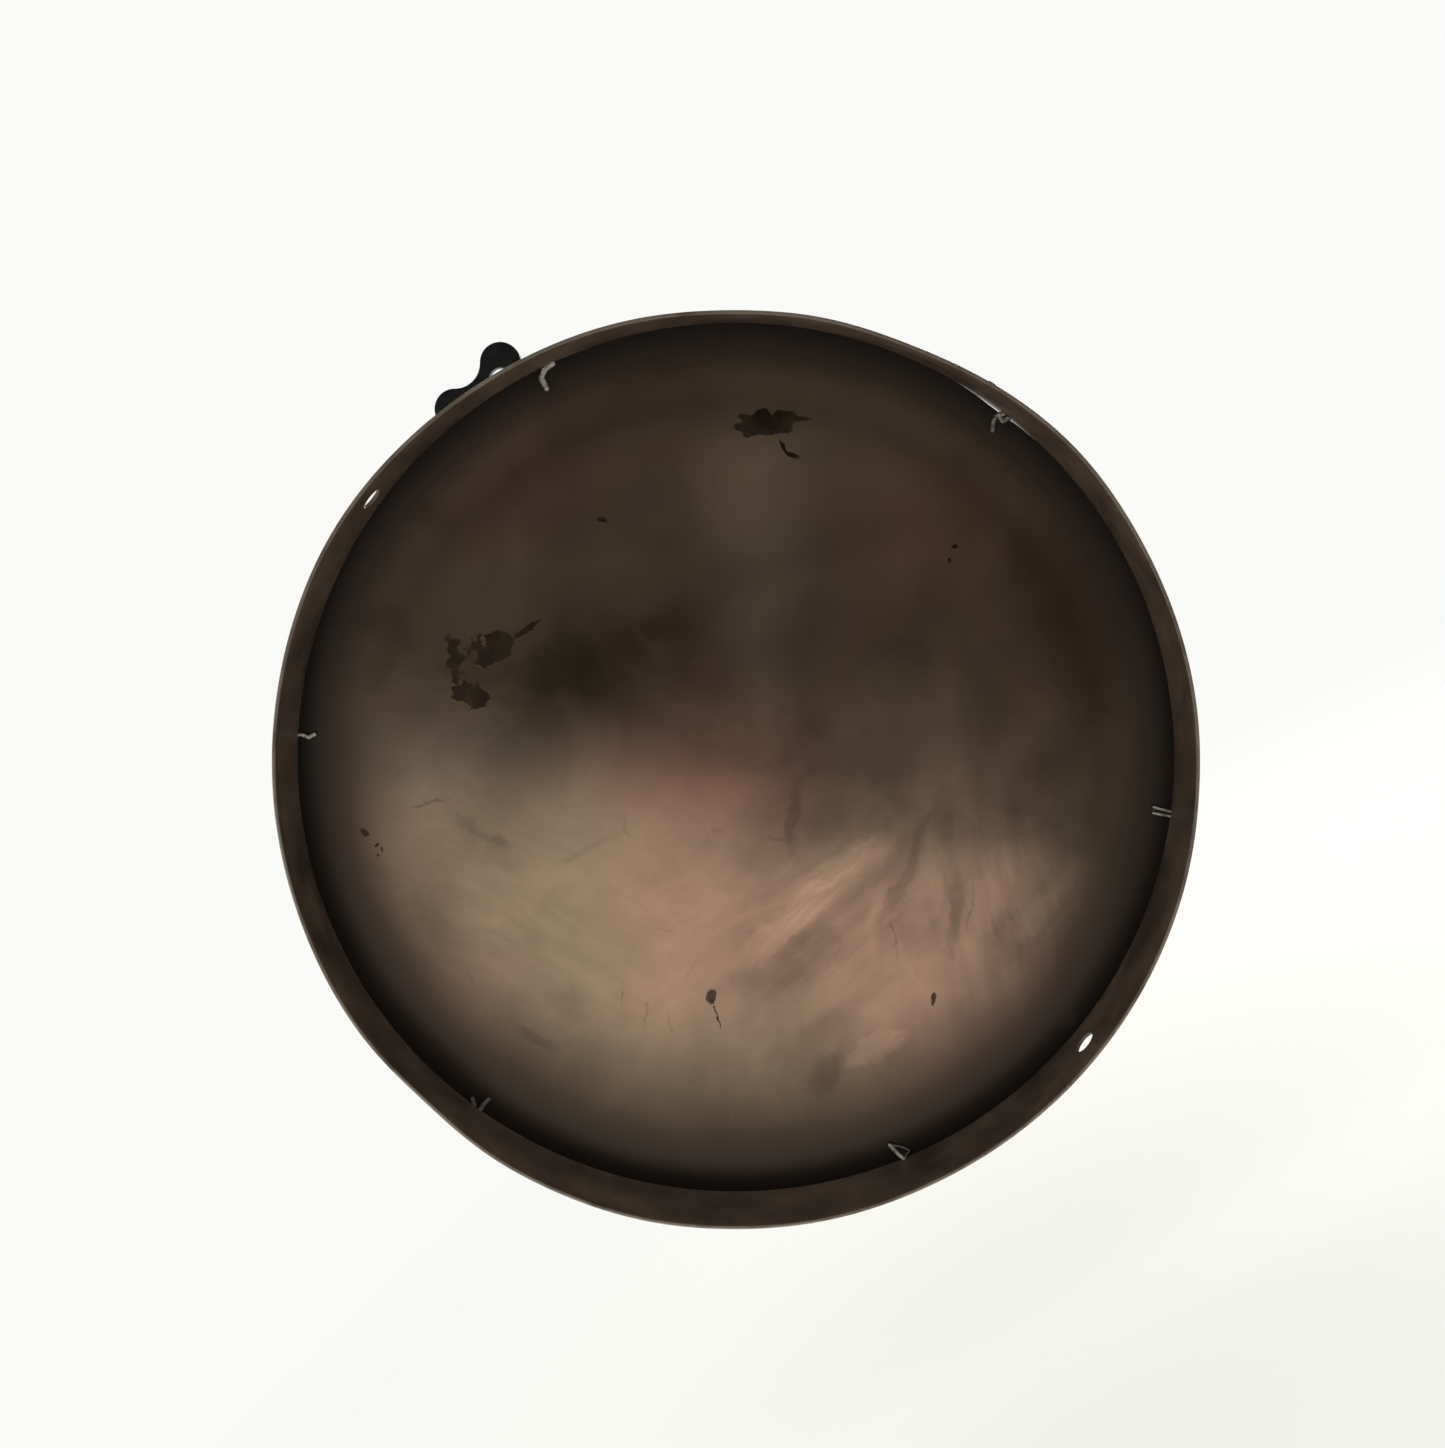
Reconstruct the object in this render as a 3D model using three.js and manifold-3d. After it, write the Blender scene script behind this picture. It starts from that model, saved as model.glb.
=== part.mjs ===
// A tam-tam gong: a thin domed steel plate, tack-welded into a deep hoop of rolled flat bar,
// with a four-lobed hanger plate that turns on a stud welded to the striking face.
//
// Millimetres, +Z up. The gong hangs upright with its axis along Y: the open back faces -Y and
// the striking face +Y. The origin is where the gong hangs, on the stud's axis, at the middle
// of the hanger plate. Angles are in degrees about the gong's axis, seen from the open back:
// 0 is +X, 90 is up.
import * as THREE from 'three';
import { mergeVertices } from 'three/addons/utils/BufferGeometryUtils.js';
import Module from 'manifold-3d';

// ---- Hoop: flat bar rolled into a ring, its ends butted and welded ----
const hoopOutsideDiameter = 500;
const hoopDepth = 50;
const hoopWall = 2;
const seamAngle = 24.7;
const seamSlot = 2.4; // between the bar's two ends, filled by the seam weld
const cordHoleDiameter = 13;
const cordHoleFromLip = 24;
const cordHoleAngles = [109.5, 289.5];

// The plate keeps the hoop round, but its free lip is knocked about: each entry is a bulge
// (by > 0) or a flat (by < 0) at the lip, centred at an angle and fading over so many degrees.
const lipOutOfRound = [
  { at: 12, by: 1.7, over: 11 },
  { at: 36, by: -1.9, over: 10 },
  { at: 57, by: -1.6, over: 11 },
  { at: 115, by: 2, over: 16 },
  { at: 168, by: -1.2, over: 20 },
  { at: 193, by: -2.6, over: 9 },
  { at: 226, by: 1.3, over: 11 },
  { at: 247, by: 1.1, over: 12 },
  { at: 326, by: -0.6, over: 8 },
];

// ---- Striking plate: a sheet with a shallow dome towards the player ----
const plateSheet = 1.5;
const plateDome = 6;
const plateInset = 3.5; // the hoop stands this far proud of the plate's edge, in front
const plateEdgeGap = 0.35; // plate edge to hoop wall
const platePull = { at: 21.4, by: 1.1, over: 4.5 }; // the edge stands off the hoop beside the seam

// ---- Tack welds: each one is a few overlapping lumps in the corner of plate and hoop ----
// A lump is [in from the wall, along the wall, half length, half width, turn in degrees].
const tackHeight = 2.6;
const tackWelds = [
  { at: 20.5, lumps: [[2, 1.8, 4.4, 1.9, 35], [3, -2, 5, 2, -40], [8.5, -3.6, 5.6, 1.9, 10]] },
  { at: 82.8, lumps: [[2.4, 3.4, 5.8, 2.2, 66], [8.4, -1.2, 5.4, 2.1, -4]] },
  { at: 142.4, lumps: [[4, 0, 5.6, 1.5, 0]] },
  { at: 200, lumps: [[1.5, -2, 4.2, 3, 20], [6, 1.2, 4, 2.7, -15]] },
  { at: 260.1, lumps: [[2, 0, 3.6, 4.4, 0], [6.5, 1.4, 5.6, 2, 18]] },
  { at: 321.5, lumps: [[5, -1.7, 6.2, 1.9, 0], [5, 1.6, 6.2, 1.9, 0]] },
];

// ---- Seam weld: a bead down the hoop's outside that fills the slot between the bar's ends ----
const seamBeadWidth = 5;
const seamBeadProud = 1.2;

// ---- Hanger plate: a cast clover, four lobes with an eye in the root of each ----
const lobeCount = 4;
const lobeRadius = 11.4;
const lobePastEye = 9.1; // the eye's centre to the centre of the lobe's round end
const firstLobeAngle = 56.8; // as it stands at rest
const eyeDiameter = 13;
const eyeWeb = 3.9; // metal between the bush's bore and each eye
const hangerThickness = 7;
const hangerEdgeRound = 1.6;

// ---- Stud and its fastenings: M8. Widths are of the metal round the stud's clearance ----
const studDiameter = 8;
const studChamfer = 0.8;
const studPastNut = 3;
const weldCollarWidth = 1.7;
const weldCollarHeight = 1.2;
const spacerWidth = 1.7;
const spacerPastHoop = 1.5; // spacer to the hoop's inner wall
const washerWidth = 3.7;
const washerThickness = 1.6;
const washerPastHoop = 0.8; // hoop's front edge to the inner washer
const springWasherWidth = 2.9;
const springWasherThickness = 2;
const springWasherSplit = 14; // degrees
const nutWidth = 2.2; // to a flat
const nutHeight = 6.8;
const bushWall = 1.5;

// ---- Clearances ----
const restGap = 0.3; // between two pieces that touch on a curved or welded face
const runningGap = 0.3; // round the stud, at the bush and at each end of it

// ---- How finely round things are faceted ----
const hoopSegments = 120;
const domeRings = 5;
const smallSegments = 32;
const lobeSegments = 8;
const bevelSegments = 2;

// ---- What follows from the dimensions ----
const hoopOuterRadius = hoopOutsideDiameter / 2;
const hoopInnerRadius = hoopOuterRadius - hoopWall;
const plateRadius = hoopInnerRadius - plateEdgeGap;
const plateSetback = hoopDepth - plateInset - plateSheet; // lip to the back of the plate's edge
const studRadius = studDiameter / 2;
const borePastStud = studRadius + restGap;
const weldCollarRadius = borePastStud + weldCollarWidth;
const spacerRadius = borePastStud + spacerWidth;
const washerRadius = borePastStud + washerWidth;
const bushHalfLength = hangerThickness / 2 + runningGap;
const bushRadius = studRadius + runningGap + bushWall;
const hangerBoreRadius = bushRadius + restGap;
const eyeFromCentre = hangerBoreRadius + eyeWeb + eyeDiameter / 2;
const lobeFromCentre = eyeFromCentre + lobePastEye;
const studInset = spacerRadius + spacerPastHoop;
const gongAxisZ = studInset - hoopInnerRadius; // the stud is straight above the gong's centre
const innerWasherFrom = -(bushHalfLength + runningGap + washerThickness);
const lipY = innerWasherFrom - washerPastHoop - hoopDepth;

const manifold = await Module();
manifold.setup();

const radians = THREE.MathUtils.degToRad;

// ---- Materials ----
function metal(color, roughness, metalness) {
  return new THREE.MeshStandardMaterial({ color, roughness, metalness });
}
const plateSteel = metal(0x4a4036, 0.32, 0.9); // lacquered sheet, brown-black
const hoopSteel = metal(0x3a2e26, 0.5, 0.85); // mill-scaled flat bar
const weldMetal = metal(0x9a968c, 0.45, 0.8); // bare bead
const blackCasting = metal(0x141414, 0.42, 0.1); // black-painted iron
const zincSteel = metal(0x9fa3a6, 0.35, 0.9); // zinc-plated fasteners
const bushBronze = metal(0x8a6a3c, 0.4, 0.9); // sintered bronze

// ---- Closed solids for cutting and joining ----
function toSolid(geometry) {
  const bare = geometry.clone();
  bare.deleteAttribute('normal');
  bare.deleteAttribute('uv');
  const merged = mergeVertices(bare);
  const mesh = new manifold.Mesh({
    numProp: 3,
    vertProperties: new Float32Array(merged.attributes.position.array),
    triVerts: new Uint32Array(merged.index.array),
  });
  return new manifold.Manifold(mesh);
}

function toGeometry(solid) {
  const mesh = solid.getMesh();
  const geometry = new THREE.BufferGeometry();
  geometry.setAttribute('position', new THREE.BufferAttribute(mesh.vertProperties, 3));
  geometry.setIndex(new THREE.BufferAttribute(mesh.triVerts, 1));
  geometry.computeVertexNormals();
  return geometry;
}

// ---- Shapes turned about Y ----
// Turns a closed outline of [radius, y] points.
function turned(outline, segments) {
  const points = outline.map(([radius, y]) => new THREE.Vector2(radius, y));
  return new THREE.LatheGeometry(points, segments);
}

function ring(innerRadius, outerRadius, fromY, toY, segments = smallSegments) {
  return turned([
    [innerRadius, fromY],
    [outerRadius, fromY],
    [outerRadius, toY],
    [innerRadius, toY],
    [innerRadius, fromY],
  ], segments);
}

function disc(radius, fromY, toY, segments = smallSegments) {
  return turned([[0, fromY], [radius, fromY], [radius, toY], [0, toY]], segments);
}

// Moves each point of a turned shape out or in, by a function of its angle, radius and y.
function reshapeRound(geometry, outwardAt) {
  const position = geometry.attributes.position;
  for (let i = 0; i < position.count; i += 1) {
    const x = position.getX(i);
    const z = position.getZ(i);
    const radius = Math.hypot(x, z);
    if (radius > 0) {
      const angle = THREE.MathUtils.radToDeg(Math.atan2(z, x));
      const scale = 1 + outwardAt(angle, radius, position.getY(i)) / radius;
      position.setX(i, x * scale);
      position.setZ(i, z * scale);
    }
  }
  return geometry;
}

// A smooth bump round the hoop: its full height at one angle, fading on both sides.
function bumpAt(angle, { at, by, over }) {
  const away = THREE.MathUtils.euclideanModulo(angle - at + 180, 360) - 180;
  return by * Math.exp(-((away / over) ** 2));
}

// How far the hoop stands out of round, which fades from the lip to nothing at the plate.
function hoopBulge(angle, fromLip) {
  const fade = Math.max(0, 1 - fromLip / plateSetback);
  return fade * lipOutOfRound.reduce((sum, bump) => sum + bumpAt(angle, bump), 0);
}

// ---- Hoop ----
// A place on or near the hoop: how far out from the axis, and how far in front of the lip.
function atAngle(geometry, angle, radius, fromLip) {
  const placed = geometry.clone();
  placed.rotateY(radians(90 - angle)); // +Z in the piece points outwards
  placed.translate(
    radius * Math.cos(radians(angle)),
    fromLip,
    radius * Math.sin(radians(angle)),
  );
  return placed;
}

function cordHoleCutter(angle) {
  const drill = new THREE.CylinderGeometry(
    cordHoleDiameter / 2, cordHoleDiameter / 2, 6 * hoopWall, smallSegments,
  );
  drill.rotateX(Math.PI / 2);
  const wallMiddle = hoopOuterRadius - hoopWall / 2 + hoopBulge(angle, cordHoleFromLip);
  return atAngle(drill, angle, wallMiddle, cordHoleFromLip);
}

function seamCutter() {
  const slot = new THREE.BoxGeometry(seamSlot, 2 * hoopDepth, 6 * hoopWall);
  return atAngle(slot, seamAngle, hoopOuterRadius, hoopDepth / 2);
}

function rimHoop() {
  const bar = reshapeRound(
    turned([
      [hoopInnerRadius, 0],
      [hoopOuterRadius, 0],
      [hoopOuterRadius, plateSetback],
      [hoopOuterRadius, hoopDepth],
      [hoopInnerRadius, hoopDepth],
      [hoopInnerRadius, plateSetback],
      [hoopInnerRadius, 0],
    ], hoopSegments),
    (angle, radius, y) => hoopBulge(angle, y),
  );
  const cutters = [...cordHoleAngles.map(cordHoleCutter), seamCutter()];
  const solid = cutters.reduce((part, cutter) => part.subtract(toSolid(cutter)), toSolid(bar));
  return toGeometry(solid);
}

// The bead's section: a stem in the slot, under a round cap that stands off the hoop's outside.
function hoopSeamWeld() {
  const stem = seamSlot / 2 - restGap;
  const cap = seamBeadWidth / 2;
  const section = new THREE.Shape();
  section.moveTo(-stem, -hoopWall);
  section.lineTo(stem, -hoopWall);
  section.lineTo(stem, restGap);
  section.lineTo(cap, restGap);
  section.absellipse(0, restGap, cap, seamBeadProud, 0, Math.PI, false, 0);
  section.lineTo(-stem, restGap);
  section.closePath();
  const bead = new THREE.ExtrudeGeometry(section, {
    depth: hoopDepth,
    bevelEnabled: false,
    curveSegments: 10,
  });
  bead.rotateX(Math.PI / 2); // the section's "out" becomes +Z, its length -Y
  bead.translate(0, hoopDepth, 0);
  return atAngle(bead, seamAngle, hoopOuterRadius, 0);
}

// ---- Striking plate ----
function domeAt(radius) {
  return plateDome * (1 - (radius / plateRadius) ** 2);
}

// A parabolic dome of even thickness.
function strikingPlate() {
  const radii = Array.from({ length: domeRings + 1 }, (_, i) => (plateRadius * i) / domeRings);
  const back = radii.map((radius) => [radius, plateSetback + domeAt(radius)]);
  const front = back.map(([radius, y]) => [radius, y + plateSheet]).reverse();
  return reshapeRound(
    turned([...back, ...front], hoopSegments),
    (angle, radius) => -bumpAt(angle, platePull) * (radius / plateRadius),
  );
}

// ---- Tack welds ----
// The corner that a tack may fill: clear of the hoop's inner wall and of the plate's back.
function weldCorner() {
  const corner = disc(hoopInnerRadius - restGap, 0, plateSetback - restGap, hoopSegments);
  return toSolid(reshapeRound(corner, (angle, radius, y) => hoopBulge(angle, y)));
}

function tackLump([inward, along, halfLength, halfWidth, turn]) {
  const lump = new THREE.SphereGeometry(1, 14, 10);
  lump.scale(halfWidth, tackHeight, halfLength);
  lump.rotateY(radians(turn));
  lump.translate(along, 0, -inward);
  return toSolid(lump);
}

function tackWeld({ at, lumps }, corner) {
  const bead = lumps.map(tackLump).reduce((whole, lump) => whole.add(lump));
  const placed = atAngle(toGeometry(bead), at, hoopInnerRadius, plateSetback);
  return toGeometry(toSolid(placed).intersect(corner));
}

// ---- Hanger plate ----
// The lobes' round ends run into each other through hollows that just touch both.
function cloverOutline() {
  const half = Math.PI / lobeCount;
  const hollowFromCentre = lobeFromCentre / Math.cos(half);
  const hollowRadius = lobeFromCentre * Math.tan(half) - lobeRadius;
  const outline = new THREE.Shape();
  for (let i = 0; i < lobeCount; i += 1) {
    const lobe = (2 * Math.PI * i) / lobeCount;
    const hollow = lobe + half;
    outline.absarc(
      lobeFromCentre * Math.cos(lobe), lobeFromCentre * Math.sin(lobe),
      lobeRadius, lobe - Math.PI / 2, lobe + Math.PI / 2, false,
    );
    outline.absarc(
      hollowFromCentre * Math.cos(hollow), hollowFromCentre * Math.sin(hollow),
      hollowRadius, lobe - Math.PI / 2, lobe - Math.PI / 2 - (Math.PI - 2 * half), true,
    );
  }
  return outline;
}

function roundHole(x, y, radius) {
  return new THREE.Path().absarc(x, y, radius, 0, 2 * Math.PI, true);
}

function hangerPlate() {
  const outline = cloverOutline();
  outline.holes.push(roundHole(0, 0, hangerBoreRadius));
  for (let i = 0; i < lobeCount; i += 1) {
    const angle = (2 * Math.PI * i) / lobeCount;
    const x = eyeFromCentre * Math.cos(angle);
    const y = eyeFromCentre * Math.sin(angle);
    outline.holes.push(roundHole(x, y, eyeDiameter / 2));
  }
  const plate = new THREE.ExtrudeGeometry(outline, {
    depth: hangerThickness - 2 * hangerEdgeRound,
    bevelThickness: hangerEdgeRound,
    bevelSize: hangerEdgeRound,
    bevelOffset: -hangerEdgeRound,
    bevelSegments,
    curveSegments: lobeSegments,
  });
  plate.translate(0, 0, hangerEdgeRound - hangerThickness / 2);
  plate.rotateX(Math.PI / 2);
  return plate;
}

// ---- Stud, bush and fastenings, stacked along Y ----
const plateFrontAtStud = (reach) => (
  lipY + plateSetback + plateSheet + domeAt(-gongAxisZ - reach)
);
const collarFrom = plateFrontAtStud(weldCollarRadius) + restGap;
const spacerFrom = collarFrom + weldCollarHeight;
const innerWasherTo = innerWasherFrom + washerThickness;
const outerWasherFrom = bushHalfLength + runningGap;
const springWasherFrom = outerWasherFrom + washerThickness;
const nutFrom = springWasherFrom + springWasherThickness;
const studTo = nutFrom + nutHeight + studPastNut;

function hangerStud() {
  const from = plateFrontAtStud(studRadius) + restGap;
  return turned([
    [0, from],
    [studRadius, from],
    [studRadius, studTo - studChamfer],
    [studRadius - studChamfer, studTo],
    [0, studTo],
  ], smallSegments);
}

function studWeldCollar() {
  return turned([
    [borePastStud, collarFrom],
    [weldCollarRadius, collarFrom],
    [weldCollarRadius - weldCollarHeight / 2, spacerFrom],
    [borePastStud, spacerFrom],
    [borePastStud, collarFrom],
  ], smallSegments);
}

function springWasher() {
  const split = radians(springWasherSplit);
  const section = new THREE.Shape();
  section.absarc(0, 0, borePastStud + springWasherWidth, split / 2, 2 * Math.PI - split / 2, false);
  section.absarc(0, 0, borePastStud, 2 * Math.PI - split / 2, split / 2, true);
  section.closePath();
  const washer = new THREE.ExtrudeGeometry(section, {
    depth: springWasherThickness,
    bevelEnabled: false,
    curveSegments: smallSegments / 2,
  });
  washer.rotateX(-Math.PI / 2);
  washer.translate(0, springWasherFrom, 0);
  return washer;
}

function hangerNut() {
  const corner = (borePastStud + nutWidth) / Math.cos(Math.PI / 6);
  const hexagon = new THREE.Shape();
  for (let i = 0; i < 6; i += 1) {
    const angle = (Math.PI / 3) * i;
    const point = [corner * Math.cos(angle), corner * Math.sin(angle)];
    if (i === 0) hexagon.moveTo(...point);
    else hexagon.lineTo(...point);
  }
  hexagon.closePath();
  hexagon.holes.push(roundHole(0, 0, borePastStud));
  const nut = new THREE.ExtrudeGeometry(hexagon, {
    depth: nutHeight,
    bevelEnabled: false,
    curveSegments: smallSegments / 2,
  });
  nut.rotateX(-Math.PI / 2);
  nut.translate(0, nutFrom, 0);
  return nut;
}

// ---- Assembly ----
function piece(name, geometry, material) {
  const mesh = new THREE.Mesh(geometry, material);
  mesh.name = name;
  return mesh;
}

function gongBody() {
  const body = new THREE.Group();
  const corner = weldCorner();
  body.add(piece('striking_plate', strikingPlate(), plateSteel));
  body.add(piece('rim_hoop', rimHoop(), hoopSteel));
  body.add(piece('hoop_seam_weld', hoopSeamWeld(), weldMetal));
  tackWelds.forEach((tack, i) => {
    body.add(piece(`tack_weld_${i + 1}`, tackWeld(tack, corner), weldMetal));
  });
  body.position.set(0, lipY, gongAxisZ);
  return body;
}

function hangingStud() {
  const stack = new THREE.Group();
  stack.add(piece('hanger_stud', hangerStud(), zincSteel));
  stack.add(piece('stud_weld_collar', studWeldCollar(), weldMetal));
  stack.add(piece('hanger_spacer', ring(borePastStud, spacerRadius, spacerFrom, innerWasherFrom), zincSteel));
  stack.add(piece('inner_washer', ring(borePastStud, washerRadius, innerWasherFrom, innerWasherTo), zincSteel));
  stack.add(piece('outer_washer', ring(borePastStud, washerRadius, outerWasherFrom, springWasherFrom), zincSteel));
  stack.add(piece('spring_washer', springWasher(), zincSteel));
  stack.add(piece('hanger_nut', hangerNut(), zincSteel));
  return stack;
}

function hanger() {
  const turning = new THREE.Group();
  turning.add(piece('hanger_plate', hangerPlate(), blackCasting));
  turning.add(piece(
    'pivot_bush',
    ring(studRadius + runningGap, bushRadius, -bushHalfLength, bushHalfLength),
    bushBronze,
  ));
  turning.rotation.y = radians(-firstLobeAngle);
  return turning;
}

const tamTam = new THREE.Group();
tamTam.add(gongBody(), hangingStud(), hanger());

export default tamTam;
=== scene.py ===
"""A tam-tam gong: a thin domed steel plate tack-welded into a deep hoop of rolled flat bar, with a black
cast clover that turns on a stud and hangs the gong up.

The gong hangs upright with its axis along Y. The open back faces -Y and the striking face +Y. The origin
is where it hangs, on the stud's axis at the middle of the cast clover. Angles are in degrees about the
gong's axis, seen from the open back: 0 is +X and 90 is up. Blender's unit here is the metre, and lengths
are written as millimetres times MM.
"""

import math

import bpy
from bpy.props import FloatProperty, FloatVectorProperty, IntProperty, PointerProperty
from mathutils import Matrix, Vector, noise


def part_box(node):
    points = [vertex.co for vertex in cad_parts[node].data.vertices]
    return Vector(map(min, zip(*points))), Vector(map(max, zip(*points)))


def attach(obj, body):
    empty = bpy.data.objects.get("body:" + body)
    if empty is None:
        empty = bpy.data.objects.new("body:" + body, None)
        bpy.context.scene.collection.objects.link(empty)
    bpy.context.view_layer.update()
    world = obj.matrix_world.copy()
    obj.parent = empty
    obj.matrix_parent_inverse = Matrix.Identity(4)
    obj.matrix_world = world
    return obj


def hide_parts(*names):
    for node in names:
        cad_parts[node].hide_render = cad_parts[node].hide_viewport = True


bl_info = {
    "name": "Tam-tam gong",
    "version": (1, 0, 0),
    "blender": (4, 5, 0),
    "location": "View3D > Sidebar > Gong",
    "description": "Builds a welded steel gong, its hanger and a plain studio round the packed frame",
    "category": "Object",
}

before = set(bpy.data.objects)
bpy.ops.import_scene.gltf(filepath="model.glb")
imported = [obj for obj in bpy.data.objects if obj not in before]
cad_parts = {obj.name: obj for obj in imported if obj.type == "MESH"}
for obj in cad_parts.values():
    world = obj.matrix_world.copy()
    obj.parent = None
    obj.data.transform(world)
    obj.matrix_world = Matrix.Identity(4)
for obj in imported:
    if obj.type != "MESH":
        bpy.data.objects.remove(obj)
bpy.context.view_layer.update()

MM = 0.001


def linear(hex_colour):
    """An sRGB hex colour as linear red, green, blue and alpha."""
    parts = [int(hex_colour[i : i + 2], 16) / 255 for i in (1, 3, 5)]
    return (*(c / 12.92 if c <= 0.04045 else ((c + 0.055) / 1.055) ** 2.4 for c in parts), 1.0)


# ---- What a user would change ----


def length(name, description, millimetres):
    return FloatProperty(
        name=name, description=description, default=millimetres * MM, min=0, unit="LENGTH", precision=5
    )


def degrees(name, description, value):
    return FloatProperty(name=name, description=description, default=math.radians(value), subtype="ANGLE")


def colour(name, description, hex_colour):
    return FloatVectorProperty(
        name=name, description=description, default=linear(hex_colour), size=4, min=0, max=1, subtype="COLOR"
    )


class GongSettings(bpy.types.PropertyGroup):
    axis_height: FloatProperty(
        name="Axis height",
        description="Height of the gong's axis above the stud",
        default=-240.5 * MM,
        unit="LENGTH",
    )
    hoop_radius: length("Hoop radius", "Outside radius of the hoop", 250)
    hoop_wall: length("Hoop wall", "Thickness of the flat bar", 2)
    hoop_depth: length("Hoop depth", "Width of the flat bar", 50)
    bar_rounding: length("Bar rounding", "How round the flat bar's rolled edges are", 0.45)
    lip: FloatProperty(
        name="Lip", description="Where the hoop's back edge is along Y", default=-56.5 * MM, unit="LENGTH"
    )
    plate_setback: length("Plate setback", "From the lip to the back of the plate's edge", 45)
    plate_sheet: length("Plate sheet", "Thickness of the plate", 1.5)
    plate_dome: length("Plate dome", "How far the plate's middle stands in front of its edge", 6)
    plate_gap: length("Plate gap", "From the plate's edge to the hoop", 0.35)
    seam_angle: degrees("Seam", "Where the bar's two ends meet", 24.7)
    seam_slot: length("Seam slot", "Gap between the bar's two ends, which the weld fills", 2.4)
    cord_hole: length("Cord hole", "Diameter of the two cord holes", 13)
    cord_hole_from_lip: length("Cord hole from lip", "From the lip to the middle of a cord hole", 24)
    steps: IntProperty(name="Steps", description="Faces round the gong", default=360, min=60)
    plate_colour: colour("Plate steel", "Lacquered sheet where the light catches it", "#A68A71")
    plate_film: colour("Old film", "Dried dark lacquer in the stains", "#403429")
    hoop_colour: colour("Hoop steel", "Lacquered mill scale on the flat bar", "#68584B")
    lip_colour: colour("Worn lip", "Bare steel along the bar's edges", "#A39A89")
    weld_colour: colour("Weld metal", "Oxide skin on a bare weld bead", "#C6C0B2")


class HangerSettings(bpy.types.PropertyGroup):
    lobes: IntProperty(name="Lobes", description="Round lobes on the clover", default=4, min=3)
    first_lobe: degrees("First lobe", "Where the first lobe points at rest", 56.8)
    lobe_radius: length("Lobe radius", "Radius of a lobe's round end", 11.4)
    lobe_from_centre: length("Lobe reach", "From the stud to the middle of a lobe's round end", 25.6)
    eye_from_centre: length("Eye reach", "From the stud to the middle of an eye", 16.5)
    eye: length("Eye", "Diameter of an eye", 13)
    bore: length("Bore", "Radius of the hole for the bush", 6.1)
    thickness: length("Thickness", "Thickness of the clover", 7)
    edge_round: length("Edge round", "How round the clover's edges are", 1.6)
    paint_colour: colour("Black paint", "Satin black paint on the casting", "#151413")
    iron_colour: colour("Bare iron", "Iron showing where the paint is rubbed", "#5A544D")


class FasteningSettings(bpy.types.PropertyGroup):
    stud_radius: length("Stud radius", "Outside radius of the M8 stud", 4)
    thread_pitch: length("Thread pitch", "One turn of the M8 thread", 1.25)
    stud_tip: length("Stud tip", "Where the stud ends along Y", 17.5)
    zinc_colour: colour("Zinc plating", "Bright zinc on the fastenings", "#B9BCBC")
    bronze_colour: colour("Bush bronze", "Oil-filled bronze of the bush", "#A9824E")


class StudioSettings(bpy.types.PropertyGroup):
    floor_height: FloatProperty(
        name="Floor height", description="Height of the floor", default=-0.62, unit="LENGTH"
    )
    camera_place: FloatVectorProperty(
        name="Camera",
        description="Where the camera stands",
        default=(0.06681, -0.89998, -0.13271),
        unit="LENGTH",
    )
    camera_aim: FloatVectorProperty(
        name="Aim",
        description="What the camera looks at",
        default=(0.00837, -0.0115, -0.21433),
        unit="LENGTH",
    )
    camera_roll: degrees("Roll", "How far the camera is turned on its side", 33.09)
    lens: FloatProperty(name="Lens", description="Focal length in millimetres", default=39.4, min=1)
    pale_colour: colour("Pale", "Floor and background", "#FAFAF8")


# ---- Making shapes ----


def deselect_all():
    if bpy.context.object and bpy.context.object.mode != "OBJECT":
        bpy.ops.object.mode_set(mode="OBJECT")
    bpy.ops.object.select_all(action="DESELECT")


def select_only(piece):
    deselect_all()
    piece.select_set(True)
    bpy.context.view_layer.objects.active = piece


def named(name):
    """The primitive just added, under its own name, with its place moved into its mesh."""
    piece = bpy.context.object
    piece.name = piece.data.name = name
    bpy.ops.object.transform_apply(location=True, rotation=True, scale=True)
    return piece


def traced(name, points):
    """A line of edges: one corner is put at the first point and pulled out to each of the others."""
    points = [Vector(p) for p in points]
    deselect_all()
    bpy.ops.mesh.primitive_plane_add(size=MM, location=points[0])
    piece = named(name)
    bpy.ops.object.mode_set(mode="EDIT")
    bpy.ops.mesh.select_all(action="SELECT")
    bpy.ops.mesh.merge(type="CENTER")
    for here, there in zip(points, points[1:]):
        bpy.ops.mesh.extrude_vertices_move(TRANSFORM_OT_translate={"value": there - here})
    bpy.ops.mesh.select_all(action="SELECT")
    return piece


def turned(name, outline, axis_height, steps, angle=2 * math.pi):
    """A ring or disc turned about the Y axis at that height. The outline is [radius, y] points and ends
    where it starts, or on the axis."""
    piece = traced(name, [(radius, y, axis_height) for radius, y in outline])
    bpy.ops.mesh.spin(steps=steps, angle=angle, center=(0, 0, axis_height), axis=(0, 1, 0))
    bpy.ops.mesh.select_all(action="SELECT")
    bpy.ops.mesh.remove_doubles(threshold=0.002 * MM)
    if angle < 2 * math.pi:
        bpy.ops.mesh.select_all(action="DESELECT")
        bpy.ops.mesh.select_non_manifold()
        bpy.ops.mesh.fill_holes(sides=0)
        bpy.ops.mesh.select_all(action="SELECT")
    bpy.ops.mesh.normals_make_consistent(inside=False)
    bpy.ops.object.mode_set(mode="OBJECT")
    return piece


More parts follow.
